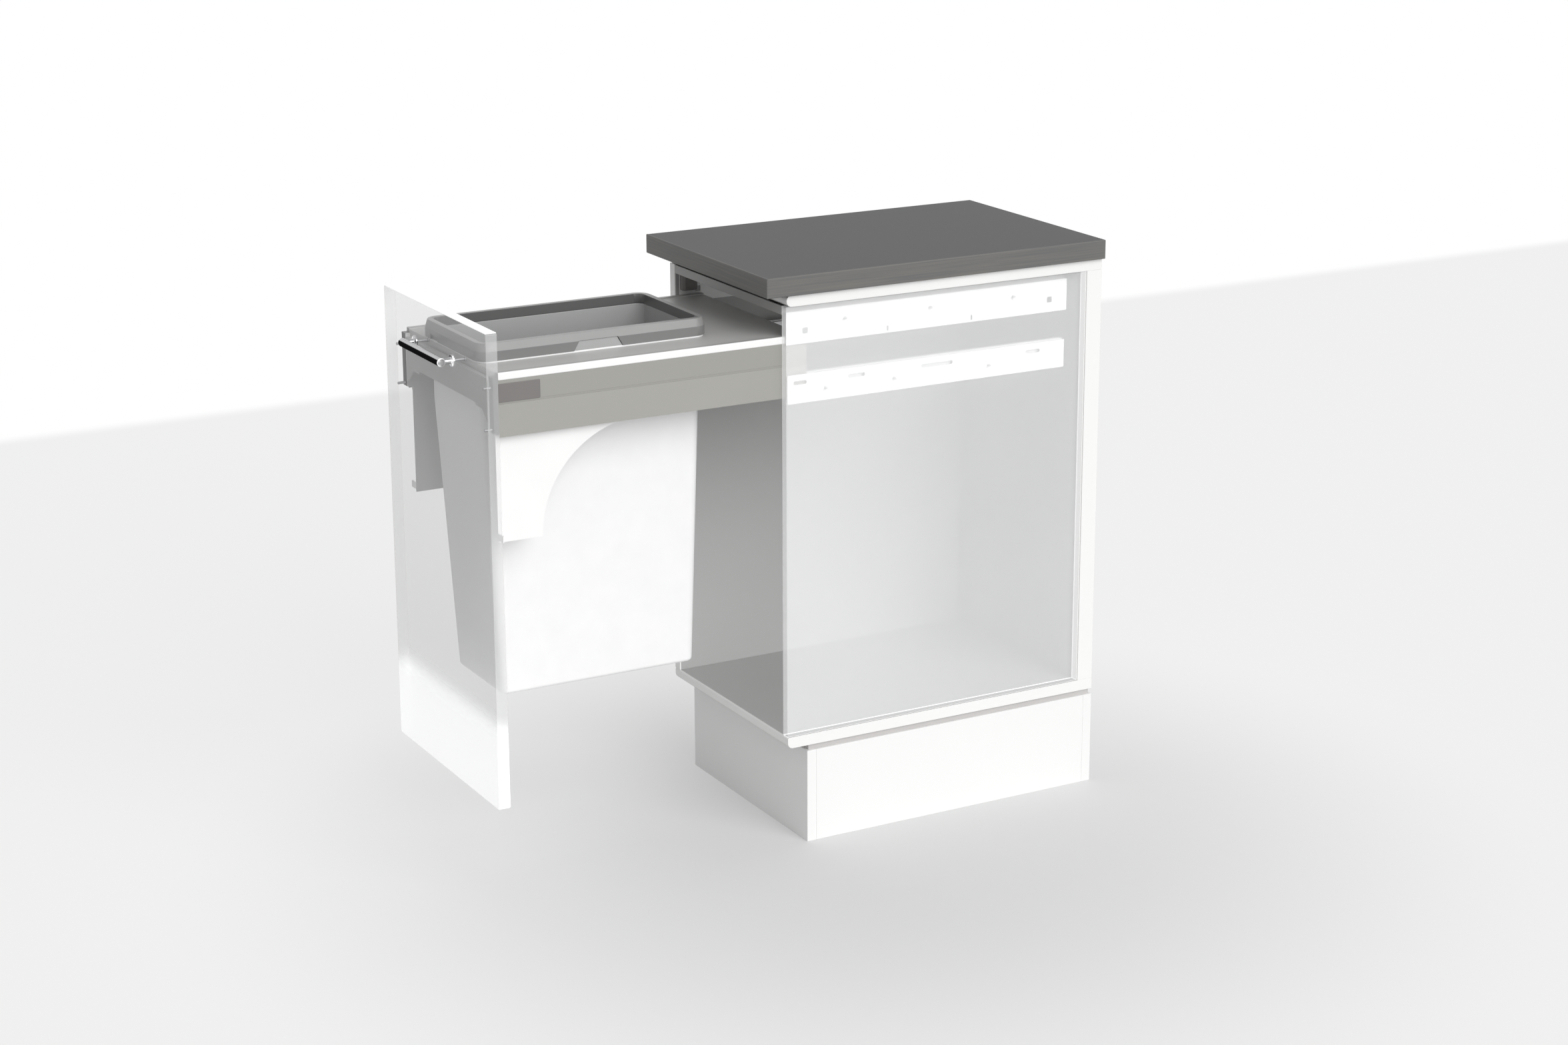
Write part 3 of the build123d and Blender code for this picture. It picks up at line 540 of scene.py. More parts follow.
def make_material(key):
    tint = bpy.context.scene.cabinet_colours
    shape = bpy.context.scene.cabinet_shape
    makers = {
        "worktop_laminate": lambda: laminate(key, tint.laminate),
        "worktop_edging": lambda: edging(key, tint.edging),
        "white_board": lambda: melamine(key, tint.white_board, tint.inner_board_shade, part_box("bottom_panel")),
        "plinth_board": lambda: melamine(key, tint.plinth_board),
        "cover_board": lambda: melamine(key, tint.cover),
        "clear_sheet": lambda: clear_sheet(
            key, scaled(tint.clear, 1.06), tint.side_veil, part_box("near_side_panel")
        ),
        "frosted_front": lambda: frosted_front(
            key, tint.clear, tint.front_veil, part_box("front_panel"), shape.frost_height, shape.frost_fade
        ),
        "white_steel": lambda: powder_coat(
            key, tint.white_steel, others=(
                # Painted shadow of the bin on the inner faces of the gusset webs.
                (scaled(tint.white_steel, 0.6), gusset_painted_shadow),
                # Painted shade on the flanges behind the front.
                (tint.flange_shade, bracket_flange),
                (scaled(tint.plate, 0.8), gallery_top),
            ),
        ),
        "grey_steel": lambda: powder_coat(
            key, tint.grey_steel, 0.36, ((scaled(tint.grey_steel, 0.92), upper_skin),)
        ),
        "grey_plate": lambda: powder_coat(key, tint.plate, 0.34),
        "zinc_steel": lambda: zinc_plate(key, tint.zinc),
        "screw_steel": lambda: zinc_plate(key, tint.screw, 0.42, tuple(tint.white_steel)),
        "dark_trim": lambda: moulded(key, tint.trim),
        # The ring: a painted sheen on its bevel and painted shade inside it.
        "ring_plastic": lambda: moulded(
            key, tint.ring, 0.26, others=((tint.ring_painted_sheen, ring_painted_sheen), (tint.ring_painted_shade, ring_shade_place))
        ),
        # The bin: the inner mark carries painted shade inside the bin, and the grey of its collar and tabs.
        "white_plastic": lambda: moulded(
            key, tint.bin, 0.36, others=((tint.bin_shade_and_tabs, lambda shader: shader.mark("inner")),)
        ),
        "black_plastic": lambda: moulded(key, tint.black, 0.42, 0.0001),
        # The seal strip's warm grey also paints the shade in the gap between plinth and carcass.
        "seal_strip": lambda: moulded(key, tint.seal_and_gap_shade, 0.5),
        "chrome": lambda: polished_chrome(
            key, tint.chrome, tint.chrome_painted_highlight, tint.chrome_painted_reflection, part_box("handle_bar")
        ),
    }
    return makers[key]()


# ---- Surfaces ----------------------------------------------------------------------------------------


def grid_faces(rows, columns):
    """Quads of a grid whose columns close on themselves."""
    row, first = np.meshgrid(np.arange(rows - 1), np.arange(columns), indexing="ij")
    second = (first + 1) % columns
    start = row * columns
    above = start + columns
    corners = [start + first, start + second, above + second, above + first]
    return np.stack([corner.ravel() for corner in corners], axis=1).tolist()


def closed_part(points):
    """Points (rows, columns, 3) as one closed part, with a cap at either end."""
    rows, columns, _ = points.shape
    faces = grid_faces(rows, columns)
    faces.append(list(range(columns))[::-1])
    faces.append([(rows - 1) * columns + c for c in range(columns)])
    flat = points.reshape(-1, 3)
    return (flat, faces) if signed_volume(flat, faces) > 0 else (flat, [f[::-1] for f in faces])


def signed_volume(points, faces):
    """Six times the volume inside the faces: the sum of the triangle fans' triple products."""
    triangles = np.array([(f[0], f[k], f[k + 1]) for f in faces for k in range(1, len(f) - 1)])
    a, b, c = (points[triangles[:, k]] for k in range(3))
    return float(np.einsum("ij,ij->", a, np.cross(b, c)))


def piece(name, parts, body, nodes, slot, sharp=32.0, marks=None):
    """Joins closed parts into one mesh, gives it its finish, and stands it for its CAD nodes.

    marks holds, under a name, one number for each point of the joined mesh.
    """
    points, faces, start = [], [], 0
    for flat, part_faces in parts:
        points.append(flat)
        faces += [[start + index for index in face] for face in part_faces]
        start += len(flat)
    mesh = bpy.data.meshes.new(name)
    mesh.from_pydata(np.concatenate(points).tolist(), [], faces)
    mesh.validate()
    for key, values in (marks or {}).items():
        mesh.attributes.new(key, "FLOAT", "POINT").data.foreach_set("value", values)
    made = bpy.data.objects.new(name, mesh)
    bpy.context.scene.collection.objects.link(made)
    mesh.materials.append(material(slot))
    mesh.shade_smooth()
    mesh.set_sharp_from_angle(angle=math.radians(sharp))
    even = made.modifiers.new("Even shading", "WEIGHTED_NORMAL")
    even.keep_sharp = True
    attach(made, body)
    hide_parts(*nodes)
    return made


def oriented(a, b, along, axis):
    """Plan coordinates and a height as row-frame points, for a shape that is built along X, Y or Z."""
    order = {"X": (along, a, b), "Y": (a, along, b), "Z": (a, b, along)}[axis]
    return np.stack(np.broadcast_arrays(*order), axis=-1)


def rounded_rectangle(half_a, half_b, corner, steps):
    """Rectangle with quarter-round corners: each corner's centre plus its radius times (cos, sin)."""
    quarter = np.linspace(0.0, math.pi / 2, steps + 1)
    angle = np.concatenate([quarter + turn * math.pi / 2 for turn in range(4)])
    sign_a = np.repeat([1.0, -1.0, -1.0, 1.0], steps + 1)
    sign_b = np.repeat([1.0, 1.0, -1.0, -1.0], steps + 1)
    a = sign_a * (half_a - corner) + corner * np.cos(angle)
    b = sign_b * (half_b - corner) + corner * np.sin(angle)
    return a, b


def column(values):
    """Numbers as a column, one for each row of a grid."""
    return np.asarray(values, float).reshape(-1, 1)


def stacked(half_a, half_b, corner, heights, centre_a, centre_b, axis="Z", steps=8):
    """Rounded rectangles stacked at heights: every argument up to centre_b is one number or one per row."""
    heights = column(heights)
    a, b = rounded_rectangle(
        column(half_a) + 0 * heights, column(half_b) + 0 * heights, column(corner) + 0 * heights, steps
    )
    return closed_part(oriented(a + column(centre_a), b + column(centre_b), heights, axis))


def rounded_rise(low, high, edge, steps=4):
    """Inset and height up a side: a quarter round, the straight side and a quarter round back in."""
    turn = np.linspace(0.0, math.pi / 2, steps + 1)
    inset = edge * (1 - np.sin(turn))
    rise = edge * (1 - np.cos(turn))
    return np.concatenate([inset, inset[::-1]]), np.concatenate([low + rise, high - rise[::-1]])


def board(low, high, edge, corner, axis):
    """A board between two corners with rounded edges and corners, lying square to an axis."""
    first, second = {"X": (1, 2), "Y": (0, 2), "Z": (0, 1)}[axis]
    along = "XYZ".index(axis)
    inset, heights = rounded_rise(low[along], high[along], edge)
    half_a = (high[first] - low[first]) / 2
    half_b = (high[second] - low[second]) / 2
    return stacked(
        half_a - inset,
        half_b - inset,
        np.maximum(corner - inset, edge * 0.2),
        heights,
        (high[first] + low[first]) / 2,
        (high[second] + low[second]) / 2,
        axis,
    )


def prism(outline, low, high, edge, axis):
    """An anticlockwise outline (n, 2) raised along an axis: its ends are drawn in by a rounded edge.

    Each corner moves inwards along the sum of its two sides' normals, far enough that both sides move alike.
    """
    outline = np.asarray(outline, float)
    before = outline - np.roll(outline, 1, axis=0)
    after = np.roll(outline, -1, axis=0) - outline
    before /= np.linalg.norm(before, axis=1, keepdims=True)
    after /= np.linalg.norm(after, axis=1, keepdims=True)
    normal_before = np.stack([-before[:, 1], before[:, 0]], axis=1)
    normal_after = np.stack([-after[:, 1], after[:, 0]], axis=1)
    inward = normal_before + normal_after
    inward /= np.maximum((inward * normal_after).sum(axis=1, keepdims=True), 0.3)
    inset, heights = rounded_rise(low, high, edge, 3)
    points = outline[None] + inset[:, None, None] * inward[None]
    return closed_part(oriented(points[..., 0], points[..., 1], column(heights), axis))


def lathe(start, direction, radii, along, steps=40):
    """A profile turned round an axis: radius and distance along it, one row each."""
    direction = Vector(direction).normalized()
    across = direction.orthogonal().normalized()
    up = direction.cross(across)
    angle = np.linspace(0.0, 2 * math.pi, steps, endpoint=False)
    circle = np.cos(angle)[:, None] * np.array(across) + np.sin(angle)[:, None] * np.array(up)
    radii = np.asarray(radii, float)[:, None, None]
    along = np.asarray(along, float)[:, None, None]
    return closed_part(np.array(start) + along * np.array(direction) + radii * circle[None])


def mirrored(part):
    """The part's mirror image across the middle of the unit, with its faces turned to point out again."""
    flat, faces = part
    return flat * np.array([-1.0, 1.0, 1.0]), [face[::-1] for face in faces]


def dressed(nodes, slot, edge, sharp=30.0):
    """CAD nodes that keep their shape: a finish, merged points and a fine rounding along sharp edges."""
    for name in nodes:
        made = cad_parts[name]
        made.data.materials.clear()
        made.data.materials.append(material(slot))
        merge = made.modifiers.new("Merge", "WELD")
        merge.merge_threshold = 0.00001
        flatten = made.modifiers.new("Flatten", "DECIMATE")
        flatten.decimate_type = "DISSOLVE"
        flatten.angle_limit = math.radians(0.5)
        round_off = made.modifiers.new("Round", "BEVEL")
        round_off.width = edge
        round_off.segments = 2
        round_off.limit_method = "ANGLE"
        round_off.angle_limit = math.radians(sharp)
        round_off.use_clamp_overlap = True
        round_off.harden_normals = True


# ---- Operators: one for each piece or group of like pieces ---------------------------------------------


class PieceOperator:
    """What every operator here has in common."""

    bl_options = {"REGISTER", "UNDO"}

    def execute(self, context):
        self.make(context.scene.cabinet_shape)
        return {"FINISHED"}


class CABINET_OT_worktop(PieceOperator, bpy.types.Operator):
    """Worktop with its three edge bands"""

    bl_idname = "cabinet.worktop"
    bl_label = "Worktop"

    def make(self, shape):
        low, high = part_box("worktop")
        slab = board(low, high, SLAB_EDGE, SLAB_EDGE, "Z")
        piece("worktop_slab", [slab], "cabinet", ["worktop"], "worktop_laminate")
        edge = shape.worktop_edge
        low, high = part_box("worktop_edge_front")
        band = front_band(low, high, edge)
        piece("front_edge_band", [band], "cabinet", ["worktop_edge_front"], "worktop_edging")
        for side, sign in SIDES:
            low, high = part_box(f"worktop_edge_{side}")
            outer = high[0] if sign > 0 else low[0]
            inner = low[0] if sign > 0 else high[0]
            band = side_band(inner, outer, low, high, edge)
            piece(f"{side}_edge_band", [band], "cabinet", [f"worktop_edge_{side}"], "worktop_edging")


SLAB_EDGE = 0.2 * MM
BAND_END_EDGE = 0.1 * MM


def band_section(inner, outer, low, high, edge, steps=5):
    """Section of an edge band: its outer face has a quarter round above and below. Anticlockwise."""
    turn = np.linspace(0.0, math.pi / 2, steps + 1)
    sign = 1.0 if outer > inner else -1.0
    lower = [(outer - sign * edge * (1 - math.sin(t)), low + edge * (1 - math.cos(t))) for t in turn]
    upper = [(x, high - (z - low)) for x, z in lower[::-1]]
    outline = [(inner, low)] + lower + upper + [(inner, high)]
    return outline if sign > 0 else outline[::-1]


def side_band(inner, outer, low, high, edge):
    """A side edge band: its section carried along the depth of the worktop."""
    return prism(band_section(inner, outer, low[2], high[2], edge), low[1], high[1], BAND_END_EDGE, "Y")


def front_band(low, high, edge):
    """The front edge band: its section carried along the width, in YZ."""
    section = band_section(high[1], low[1], low[2], high[2], edge)
    return prism(section, low[0], high[0], BAND_END_EDGE, "X")


class CABINET_OT_carcass(PieceOperator, bpy.types.Operator):
    """White boards of the carcass, its rear posts and rails"""

    bl_idname = "cabinet.carcass"
    bl_label = "Carcass"

    def make(self, shape):
        boards = ["far_side_panel", "back_panel", "rear_post_near", "rear_post_far",
                  "rear_rail_top", "rear_rail_bottom"]
        dressed(boards, "white_board", shape.board_edge)
        for name, upper in (("bottom", NOSE_UPPER), ("top", NOSE_LOWER)):
            low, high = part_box(f"{name}_panel")
            section = nosed_section(low, high, upper, NOSE_LOWER)
            piece(f"{name}_board", [prism(section, low[0], high[0], shape.board_edge, "X")], "cabinet",
                  [f"{name}_panel"], "white_board")


NOSE_UPPER = 3.0 * MM
NOSE_LOWER = 9.0 * MM


def nosed_section(low, high, upper, lower, steps=8):
    """Section of a board in YZ, anticlockwise: its front edge has a quarter round of each radius."""
    turn = np.linspace(0.0, math.pi / 2, steps + 1)
    top = [(low[1] + upper * (1 - math.sin(t)), high[2] - upper * (1 - math.cos(t))) for t in turn]
    foot = [(low[1] + lower * (1 - math.cos(t)), low[2] + lower * (1 - math.sin(t))) for t in turn]
    return top + foot + [(high[1], low[2]), (high[1], high[2])]


class CABINET_OT_clear_side(PieceOperator, bpy.types.Operator):
    """Clear sheet on the near side"""

    bl_idname = "cabinet.clear_side"
    bl_label = "Clear side"

    def make(self, shape):
        low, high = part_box("near_side_panel")
        low[0] += RAIL_SHADOW_GAP
        part = board(low, high, shape.sheet_edge, shape.sheet_edge, "X")
        sheet = piece("clear_side_sheet", [part], "cabinet", ["near_side_panel"], "clear_sheet")
        sheet.visible_shadow = False


class CABINET_OT_plinth(PieceOperator, bpy.types.Operator):
    """Plinth boards and the strip over them"""

    bl_idname = "cabinet.plinth"
    bl_label = "Plinth"

    def make(self, shape):
        boards = [f"plinth_{place}" for place in ("front", "near", "far", "back")]
        dressed(boards, "plinth_board", shape.board_edge)
        dressed(["plinth_seal"], "seal_strip", shape.steel_edge)


class CABINET_OT_legs(PieceOperator, bpy.types.Operator):
    """Legs, feet and plinth clips"""

    bl_idname = "cabinet.legs"
    bl_label = "Legs"

    def make(self, shape):
        corners = [f"{depth}_{side}" for depth in ("front", "rear") for side, _ in SIDES]
        names = [f"{kind}_{corner}" for kind in ("leg", "foot") for corner in corners]
        dressed(names + ["plinth_clips"], "black_plastic", shape.moulded_edge)


class CABINET_OT_cover(PieceOperator, bpy.types.Operator):
    """Fixed bin cover"""

    bl_idname = "cabinet.cover"
    bl_label = "Bin cover"

    def make(self, shape):
        dressed(["bin_cover"], "cover_board", shape.board_edge)


class CABINET_OT_upper_rails(PieceOperator, bpy.types.Operator):
    """Upper rails and their stops"""

    bl_idname = "cabinet.upper_rails"
    bl_label = "Upper rails"

    def make(self, shape):
        dressed(["upper_rail_near", "upper_rail_far"], "white_steel", shape.steel_edge)
        dressed(["rail_stop_near", "rail_stop_far"], "dark_trim", shape.moulded_edge)


class CABINET_OT_runners(PieceOperator, bpy.types.Operator):
    """Telescopic runners"""

    bl_idname = "cabinet.runners"
    bl_label = "Runners"

    def make(self, shape):
        dressed([f"cabinet_runner_{side}" for side, _ in SIDES], "white_steel", shape.steel_edge)
        dressed([f"{kind}_runner_{side}" for kind in ("middle", "drawer") for side, _ in SIDES],
                "zinc_steel", shape.steel_edge)


class CABINET_OT_front_panel(PieceOperator, bpy.types.Operator):
    """Clear front, frosted in its lower part"""

    bl_idname = "cabinet.front_panel"
    bl_label = "Front panel"

    def make(self, shape):
        low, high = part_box("front_panel")
        part = board(low, high, shape.sheet_edge, shape.sheet_corner, "Y")
        piece("front_sheet", [part], "pullout_frame", ["front_panel"], "frosted_front")


HANDLE_LEG_RADIUS = 4.5 * MM


class CABINET_OT_handle(PieceOperator, bpy.types.Operator):
    """Bar handle with its legs"""

    bl_idname = "cabinet.handle"
    bl_label = "Handle"

    def make(self, shape):
        low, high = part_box("handle_bar")
        radius = (high[2] - low[2]) / 2
        centre = (low + high) / 2
        inset, along = rounded_rise(0.0, high[0] - low[0], 0.0012, 6)
        bar = lathe((low[0], centre[1], centre[2]), (1, 0, 0), radius - inset, along, 64)
        piece("handle_rod", [bar], "pullout_frame", ["handle_bar"], "chrome")
        for side, _ in SIDES:
            low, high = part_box(f"handle_leg_{side}")
            middle = (low + high) / 2
            rosette = (high[0] - low[0]) / 2
            reach = high[1] - centre[1]
            neck = HANDLE_LEG_RADIUS
            foot = 3.0 * MM
            turn = np.linspace(0.0, math.pi / 2, 6)
            radii = np.concatenate([
                [rosette - 0.0004, rosette],
                rosette - 0.0008 * (1 - np.cos(turn)),
                neck + 0.0016 * (1 - np.sin(turn)),
                [neck, neck],
            ])
            steps = np.concatenate([
                [0.0, 0.0004],
                foot - 0.0008 + 0.0008 * np.sin(turn),
                foot + 0.0016 * (1 - np.cos(turn)),
                [0.5 * reach, reach - radius * 0.5],
            ])
            leg = lathe((middle[0], high[1], middle[2]), (0, -1, 0), radii, steps, 56)
            piece(f"handle_post_{side}", [leg], "pullout_frame", [f"handle_leg_{side}"], "chrome")


class CABINET_OT_drawer_sides(PieceOperator, bpy.types.Operator):
    """Hollow drawer sides, cover caps, top rails and the back"""

    bl_idname = "cabinet.drawer_sides"
    bl_label = "Drawer sides"

    def make(self, shape):
        walls = [f"drawer_side_{side}" for side, _ in SIDES] + ["drawer_back"]
        dressed(walls, "grey_steel", shape.steel_edge)
        for side, _ in SIDES:
            low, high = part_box(f"cover_cap_{side}")
            piece(f"cap_{side}", [board(low, high, 0.0005, 0.0015, "X")], "pullout_frame",
                  [f"cover_cap_{side}"], "dark_trim")
            low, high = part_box(f"side_top_rail_{side}")
            piece(f"gallery_{side}", [board(low, high, 0.0016, 0.0016, "Y")], "pullout_frame",
                  [f"side_top_rail_{side}"], "white_steel")


class CABINET_OT_brackets(PieceOperator, bpy.types.Operator):
    """Gusset brackets and the cross rail behind the front"""

    bl_idname = "cabinet.brackets"
    bl_label = "Brackets"

    def make(self, shape):
        brackets = ["front_bracket_near", "front_bracket_far", "front_cross_rail"]
        dressed(brackets, "white_steel", shape.steel_edge)


class CABINET_OT_top_plate(PieceOperator, bpy.types.Operator):
    """Grey top plate that the bin hangs in"""

    bl_idname = "cabinet.top_plate"
    bl_label = "Top plate"

    def make(self, shape):
        dressed(["top_plate"], "grey_plate", shape.moulded_edge)


BIN_WALL = 2.5 * MM
BIN_RIM = 7.5 * MM
BIN_RIM_THICKNESS = 3.0 * MM
BIN_TABS = 14.0 * MM  # height of the lifting tabs over the rim
BIN_TAB_WIDTHS = (78.0 * MM, 61.0 * MM)  # at the rim and at the top
BIN_TAB_PLACE = 188.5 * MM  # middle of the tabs, from the rim's front
BIN_TAB_THICKNESS = 4.0 * MM
BIN_COLLAR = 11.0 * MM  # neck above the rim
BIN_STRAIGHT = 93.0 * MM  # neck below the rim
BIN_TAPER = (13.5 * MM, 22.5 * MM, 10.5 * MM)  # each side, front and rear
BIN_CORNER = (16.0 * MM, 13.0 * MM)  # at the neck and at the base
BIN_BASE_ROUND = 6.0 * MM
BIN_FLOOR_ROUND = 4.0 * MM


def bin_profile(base, neck, rim, collar):
    """The bin's profile as insets from its outer wall and heights, from its inner floor to its base."""
    turn = np.linspace(0.0, math.pi / 2, 7)
    half_turn = np.linspace(0.0, math.pi, 9)
    lip = BIN_WALL / 2
    edge = 0.9 * MM
    floor = base + BIN_WALL
    inside = (
        BIN_WALL + BIN_FLOOR_ROUND * (1 - np.sin(turn)), floor + BIN_FLOOR_ROUND * (1 - np.cos(turn))
    )
    middle = 0.5 * (base + neck)
    inside_wall = (np.full(5, BIN_WALL), np.array([middle, neck - 2 * MM, neck, neck + 2 * MM, rim]))
    top = (lip + lip * np.cos(half_turn), collar - lip + lip * np.sin(half_turn))
    rim_upper = (
        np.concatenate([[0.0, -BIN_RIM + 2 * edge], -BIN_RIM + edge * (1 - np.sin(turn))]),
        np.concatenate([[rim, rim], rim - edge * (1 - np.cos(turn))]),
    )
    under = rim - BIN_RIM_THICKNESS
    rim_lower = (rim_upper[0][::-1], under + (rim - rim_upper[1][::-1]))
    outside_wall = (np.zeros(4), np.array([neck + 2 * MM, neck, neck - 2 * MM, middle]))
    bottom = (BIN_BASE_ROUND * (1 - np.cos(turn)), base + BIN_BASE_ROUND * (1 - np.sin(turn)))
    parts = [inside, inside_wall, top, rim_upper, rim_lower, outside_wall, bottom]
    inset = np.concatenate([p[0] for p in parts])
    heights = np.concatenate([p[1] for p in parts])
    inner_rows = len(inside[0]) + len(inside_wall[0]) + len(top[0]) + 1
    return inset, heights, inner_rows


class CABINET_OT_bin(PieceOperator, bpy.types.Operator):
    """Bin with its rim, collar and lifting tabs"""

    bl_idname = "cabinet.bin"
    bl_label = "Bin"

    def make(self, shape):
        low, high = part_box("bin")
        rim = high[2] - BIN_TABS
        neck = rim - BIN_RIM_THICKNESS - BIN_STRAIGHT
        inset, heights, inner_rows = bin_profile(low[2], neck, rim, rim + BIN_COLLAR)
        drawn_in = np.clip((neck - heights) / (neck - low[2]), 0.0, 1.0)
        half = high[0] - BIN_RIM - BIN_TAPER[0] * drawn_in - inset
        front = low[1] + BIN_RIM + BIN_TAPER[1] * drawn_in + inset
        rear = high[1] - BIN_RIM - BIN_TAPER[2] * drawn_in - inset
        corner = BIN_CORNER[0] + (BIN_CORNER[1] - BIN_CORNER[0]) * drawn_in - inset
        steps = 10
        shell = stacked(half, (rear - front) / 2, np.clip(corner, 2 * MM, 20 * MM), heights, 0.0,
                        column((rear + front) / 2), steps=steps)
        columns = 4 * (steps + 1)
        middle = low[1] + BIN_TAB_PLACE
        wide, narrow = (w / 2 for w in BIN_TAB_WIDTHS)
        outline = [
            (middle - wide, rim), (middle + wide, rim), (middle + narrow, high[2]), (middle - narrow, high[2])
        ]
        outer = high[0] - 0.3 * MM
        tab = prism(outline, outer - BIN_TAB_THICKNESS, outer, shape.moulded_edge, "X")
        # The inner mark is 1 inside the bin, on its collar and on the tabs: a grey that paints the shade
        # inside the bin and colours the collar and tabs.
        grey = np.zeros(len(shell[0]) + 2 * len(tab[0]))
        grey[:inner_rows * columns] = 1.0
        grey[len(shell[0]):] = 1.0
        parts = [shell, tab, mirrored(tab)]
        piece("bin_shell", parts, "pullout_frame", ["bin"], "white_plastic", marks={"inner": grey})


class CABINET_OT_ring(PieceOperator, bpy.types.Operator):
    """Dark ring on the bin"""

    bl_idname = "cabinet.ring"
    bl_label = "Bin ring"

    def make(self, shape):
        dressed(["bin_ring"], "ring_plastic", shape.moulded_edge)


class CABINET_OT_screws(PieceOperator, bpy.types.Operator):
    """Screws of the rails, runners, brackets, handle and worktop"""

    bl_idname = "cabinet.screws"
    bl_label = "Screws"

    def make(self, shape):
        names = ["upper_rail_screws", "runner_screws", "bracket_screws", "handle_screws", "worktop_screws"]
        dressed(names, "screw_steel", shape.steel_edge)


# ---- Stage -------------------------------------------------------------------------------------------

PHOTO_WIDTH = 2352.0
PHOTO_HEIGHT = 1568.0
FOCAL_PIXELS = 4514.24
CENTRE_PIXEL = (1232.07, 700.1)
CAMERA_PLACE = (3.98249, -2.66034, 1.80853)
CAMERA_AZIMUTH = 60.38
CAMERA_ELEVATION = 15.47
SENSOR_WIDTH = 36.0
FLOOR_REACH = 30.0
FLOOR_FAR_EDGE = -2.83  # the floor turns white past this X
FLOOR_FAR_FADE = 0.10
# The darker floor round the unit is painted shade.
FLOOR_SHADE_PLACE = (0.25, -0.45, 0.0)  # middle of the darker floor round the unit
FLOOR_SHADE_RADIUS = 0.62
FLOOR_SHADE_FADE = 1.0


class CABINET_OT_stage(bpy.types.Operator):
    """Floor, light and camera"""

    bl_idname = "cabinet.stage"
    bl_label = "Stage"
    bl_options = {"REGISTER", "UNDO"}

    def execute(self, context):
        stage = context.scene.cabinet_stage
        make_floor(stage)
        make_light(context.scene, stage)
        make_camera(context.scene)
        return {"FINISHED"}


def make_floor(stage):
    """A pale plane that fades to white past its far edge, with painted shade round the unit where less plain
    white is mixed in.
    """
    shader = Shader("floor")
    across = shader.along("X")
    grain = shader.noise(40.0, 2.0)
    lit = shader.node("ShaderNodeBsdfDiffuse", {}, {
        "Color": shader.blend(grain, scaled(stage.floor, 0.995), scaled(stage.floor, 1.005)),
    })
    white = shader.node("ShaderNodeEmission", {}, {"Color": WHITE + (1.0,), "Strength": 1.0})
    beyond = 1.0 - across.above(FLOOR_FAR_EDGE, FLOOR_FAR_FADE)
    away = shader.node(
        "ShaderNodeVectorMath", {"operation": "DISTANCE"}, {0: shader.place, 1: FLOOR_SHADE_PLACE}, "Value"
    )
    further = away.above(FLOOR_SHADE_RADIUS, FLOOR_SHADE_FADE)
    # Less plain white near the unit: painted shade round it.
    share = stage.floor_white_in_shade + (stage.floor_white - stage.floor_white_in_shade) * further
    share = share + (1.0 - share) * beyond
    mixed = shader.node("ShaderNodeMixShader", {}, {0: share * shader.background_rays(), 1: lit, 2: white})
    shader.node("ShaderNodeOutputMaterial", {}, {"Surface": mixed})
    mesh = bpy.data.meshes.new("floor")
    corners = [(x * FLOOR_REACH, y * FLOOR_REACH, 0.0) for x, y in ((-1, -1), (1, -1), (1, 1), (-1, 1))]
    mesh.from_pydata(corners, [], [(0, 1, 2, 3)])
    mesh.materials.append(shader.owner)
    floor = bpy.data.objects.new("floor", mesh)
    bpy.context.scene.collection.objects.link(floor)


def make_light(scene, stage):
    """Even light all round, white to the camera, and one soft key light from the near side."""
    world = bpy.data.worlds.new("studio")
    scene.world = world
    shader = Shader("studio", world)
    even, white = (
        shader.node("ShaderNodeBackground", {}, {"Color": WHITE + (1.0,), "Strength": strength})
        for strength in (stage.ambient, 1.0)
    )
    mixed = shader.node("ShaderNodeMixShader", {}, {0: shader.background_rays(), 1: even, 2: white})
    shader.node("ShaderNodeOutputWorld", {}, {"Surface": mixed})

    lamp = bpy.data.lights.new("key", "SUN")
    lamp.energy = stage.sun
    lamp.angle = stage.sun_size
    key = bpy.data.objects.new("key", lamp)
    scene.collection.objects.link(key)
    towards = Vector((
        math.cos(stage.sun_azimuth) * math.cos(stage.sun_height),
        -math.sin(stage.sun_azimuth) * math.cos(stage.sun_height),
        math.sin(stage.sun_height),
    ))
    key.location = towards * 5.0
    key.rotation_mode = "QUATERNION"
    key.rotation_quaternion = towards.to_track_quat("Z", "Y")


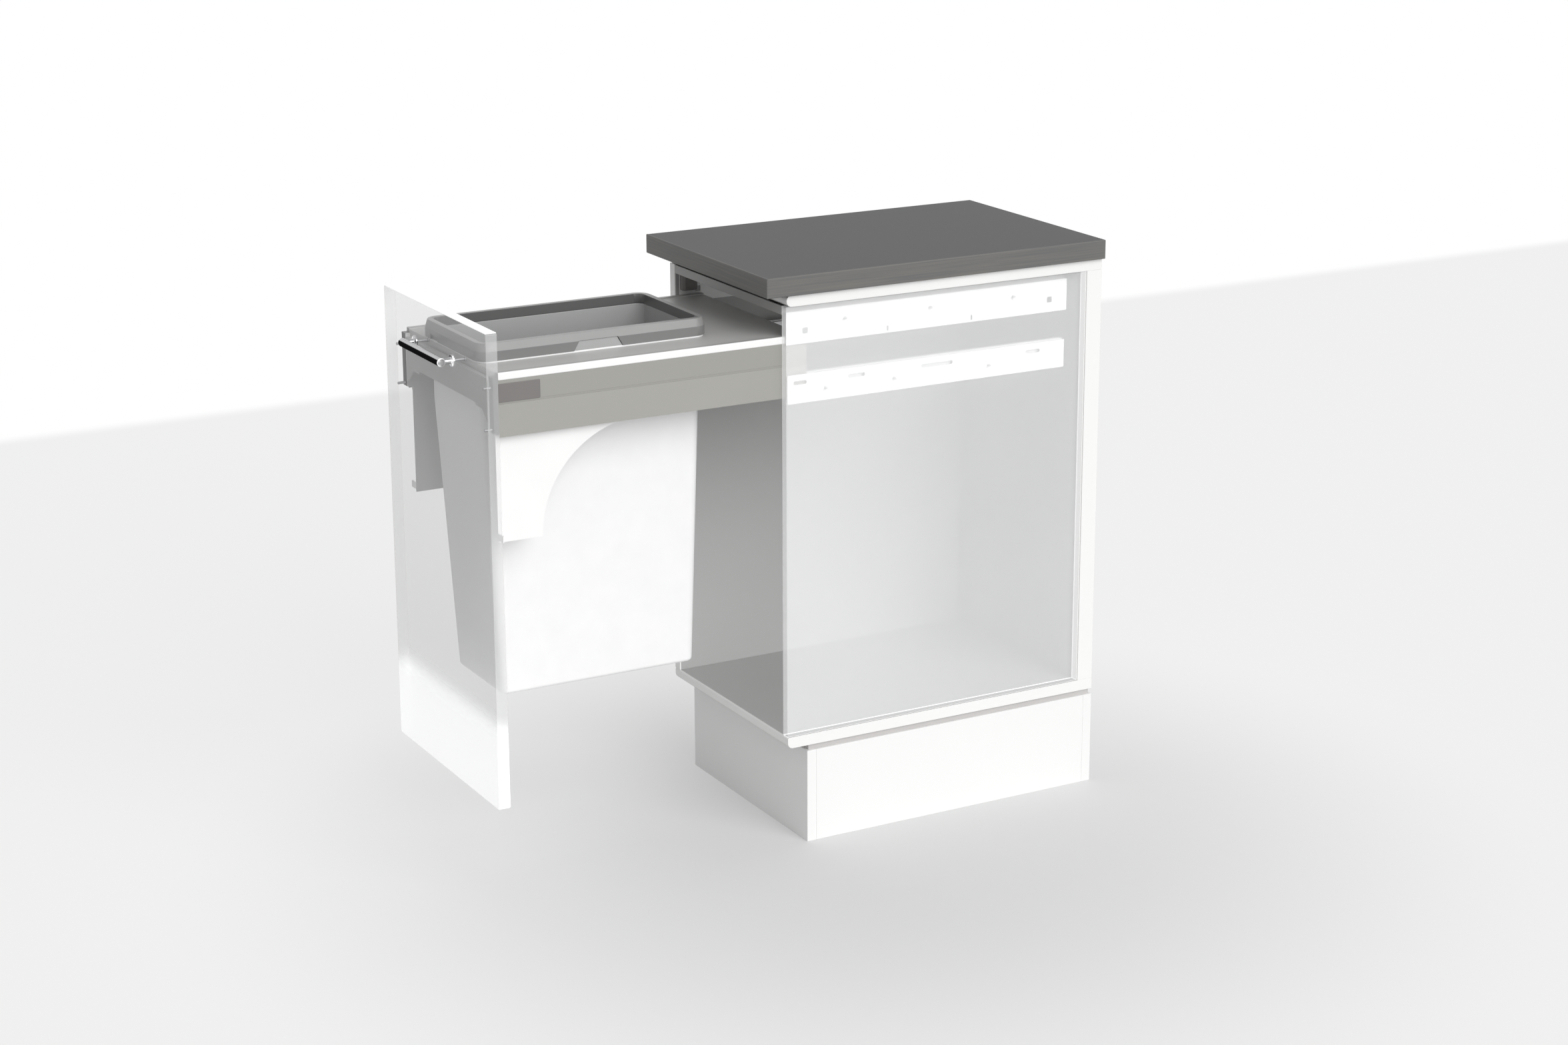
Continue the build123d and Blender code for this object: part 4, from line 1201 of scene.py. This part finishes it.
def make_camera(scene):
    """The photograph's camera: its place, its direction, and a small shift to the photograph's centre."""
    data = bpy.data.cameras.new("camera")
    data.sensor_width = SENSOR_WIDTH
    data.lens = SENSOR_WIDTH * FOCAL_PIXELS / PHOTO_WIDTH
    data.shift_x = (PHOTO_WIDTH / 2 - CENTRE_PIXEL[0]) / PHOTO_WIDTH
    data.shift_y = (CENTRE_PIXEL[1] - PHOTO_HEIGHT / 2) / PHOTO_WIDTH
    data.clip_start = 0.05
    data.clip_end = 100.0
    camera = bpy.data.objects.new("camera", data)
    scene.collection.objects.link(camera)
    azimuth = math.radians(CAMERA_AZIMUTH)
    elevation = math.radians(CAMERA_ELEVATION)
    forward = Vector((
        -math.sin(azimuth) * math.cos(elevation),
        math.cos(azimuth) * math.cos(elevation),
        -math.sin(elevation),
    ))
    camera.location = CAMERA_PLACE
    camera.rotation_mode = "QUATERNION"
    camera.rotation_quaternion = forward.to_track_quat("-Z", "Y")
    scene.camera = camera


# ---- Add-on ------------------------------------------------------------------------------------------

OPERATORS = (
    CABINET_OT_worktop,
    CABINET_OT_carcass,
    CABINET_OT_clear_side,
    CABINET_OT_plinth,
    CABINET_OT_legs,
    CABINET_OT_cover,
    CABINET_OT_upper_rails,
    CABINET_OT_runners,
    CABINET_OT_front_panel,
    CABINET_OT_handle,
    CABINET_OT_drawer_sides,
    CABINET_OT_brackets,
    CABINET_OT_top_plate,
    CABINET_OT_bin,
    CABINET_OT_ring,
    CABINET_OT_screws,
    CABINET_OT_stage,
)


class CABINET_PT_panel(bpy.types.Panel):
    """Lists the operators in the 3D view's sidebar"""

    bl_label = "Pull-out cabinet"
    bl_idname = "CABINET_PT_panel"
    bl_space_type = "VIEW_3D"
    bl_region_type = "UI"
    bl_category = "Cabinet"

    def draw(self, context):
        for operator in OPERATORS:
            self.layout.operator(operator.bl_idname)


GROUPS = {"cabinet_shape": CabinetShape, "cabinet_colours": CabinetColours, "cabinet_stage": CabinetStage}


def register():
    for kind in (*GROUPS.values(), *OPERATORS, CABINET_PT_panel):
        bpy.utils.register_class(kind)
    for name, group in GROUPS.items():
        setattr(bpy.types.Scene, name, PointerProperty(type=group))


def unregister():
    for name in GROUPS:
        delattr(bpy.types.Scene, name)
    for kind in reversed((*GROUPS.values(), *OPERATORS, CABINET_PT_panel)):
        bpy.utils.unregister_class(kind)


def main():
    register()
    bpy.context.scene.view_settings.view_transform = "Standard"
    for operator in OPERATORS:
        group, action = operator.bl_idname.split(".")
        getattr(getattr(bpy.ops, group), action)()


if __name__ == "__main__":
    main()
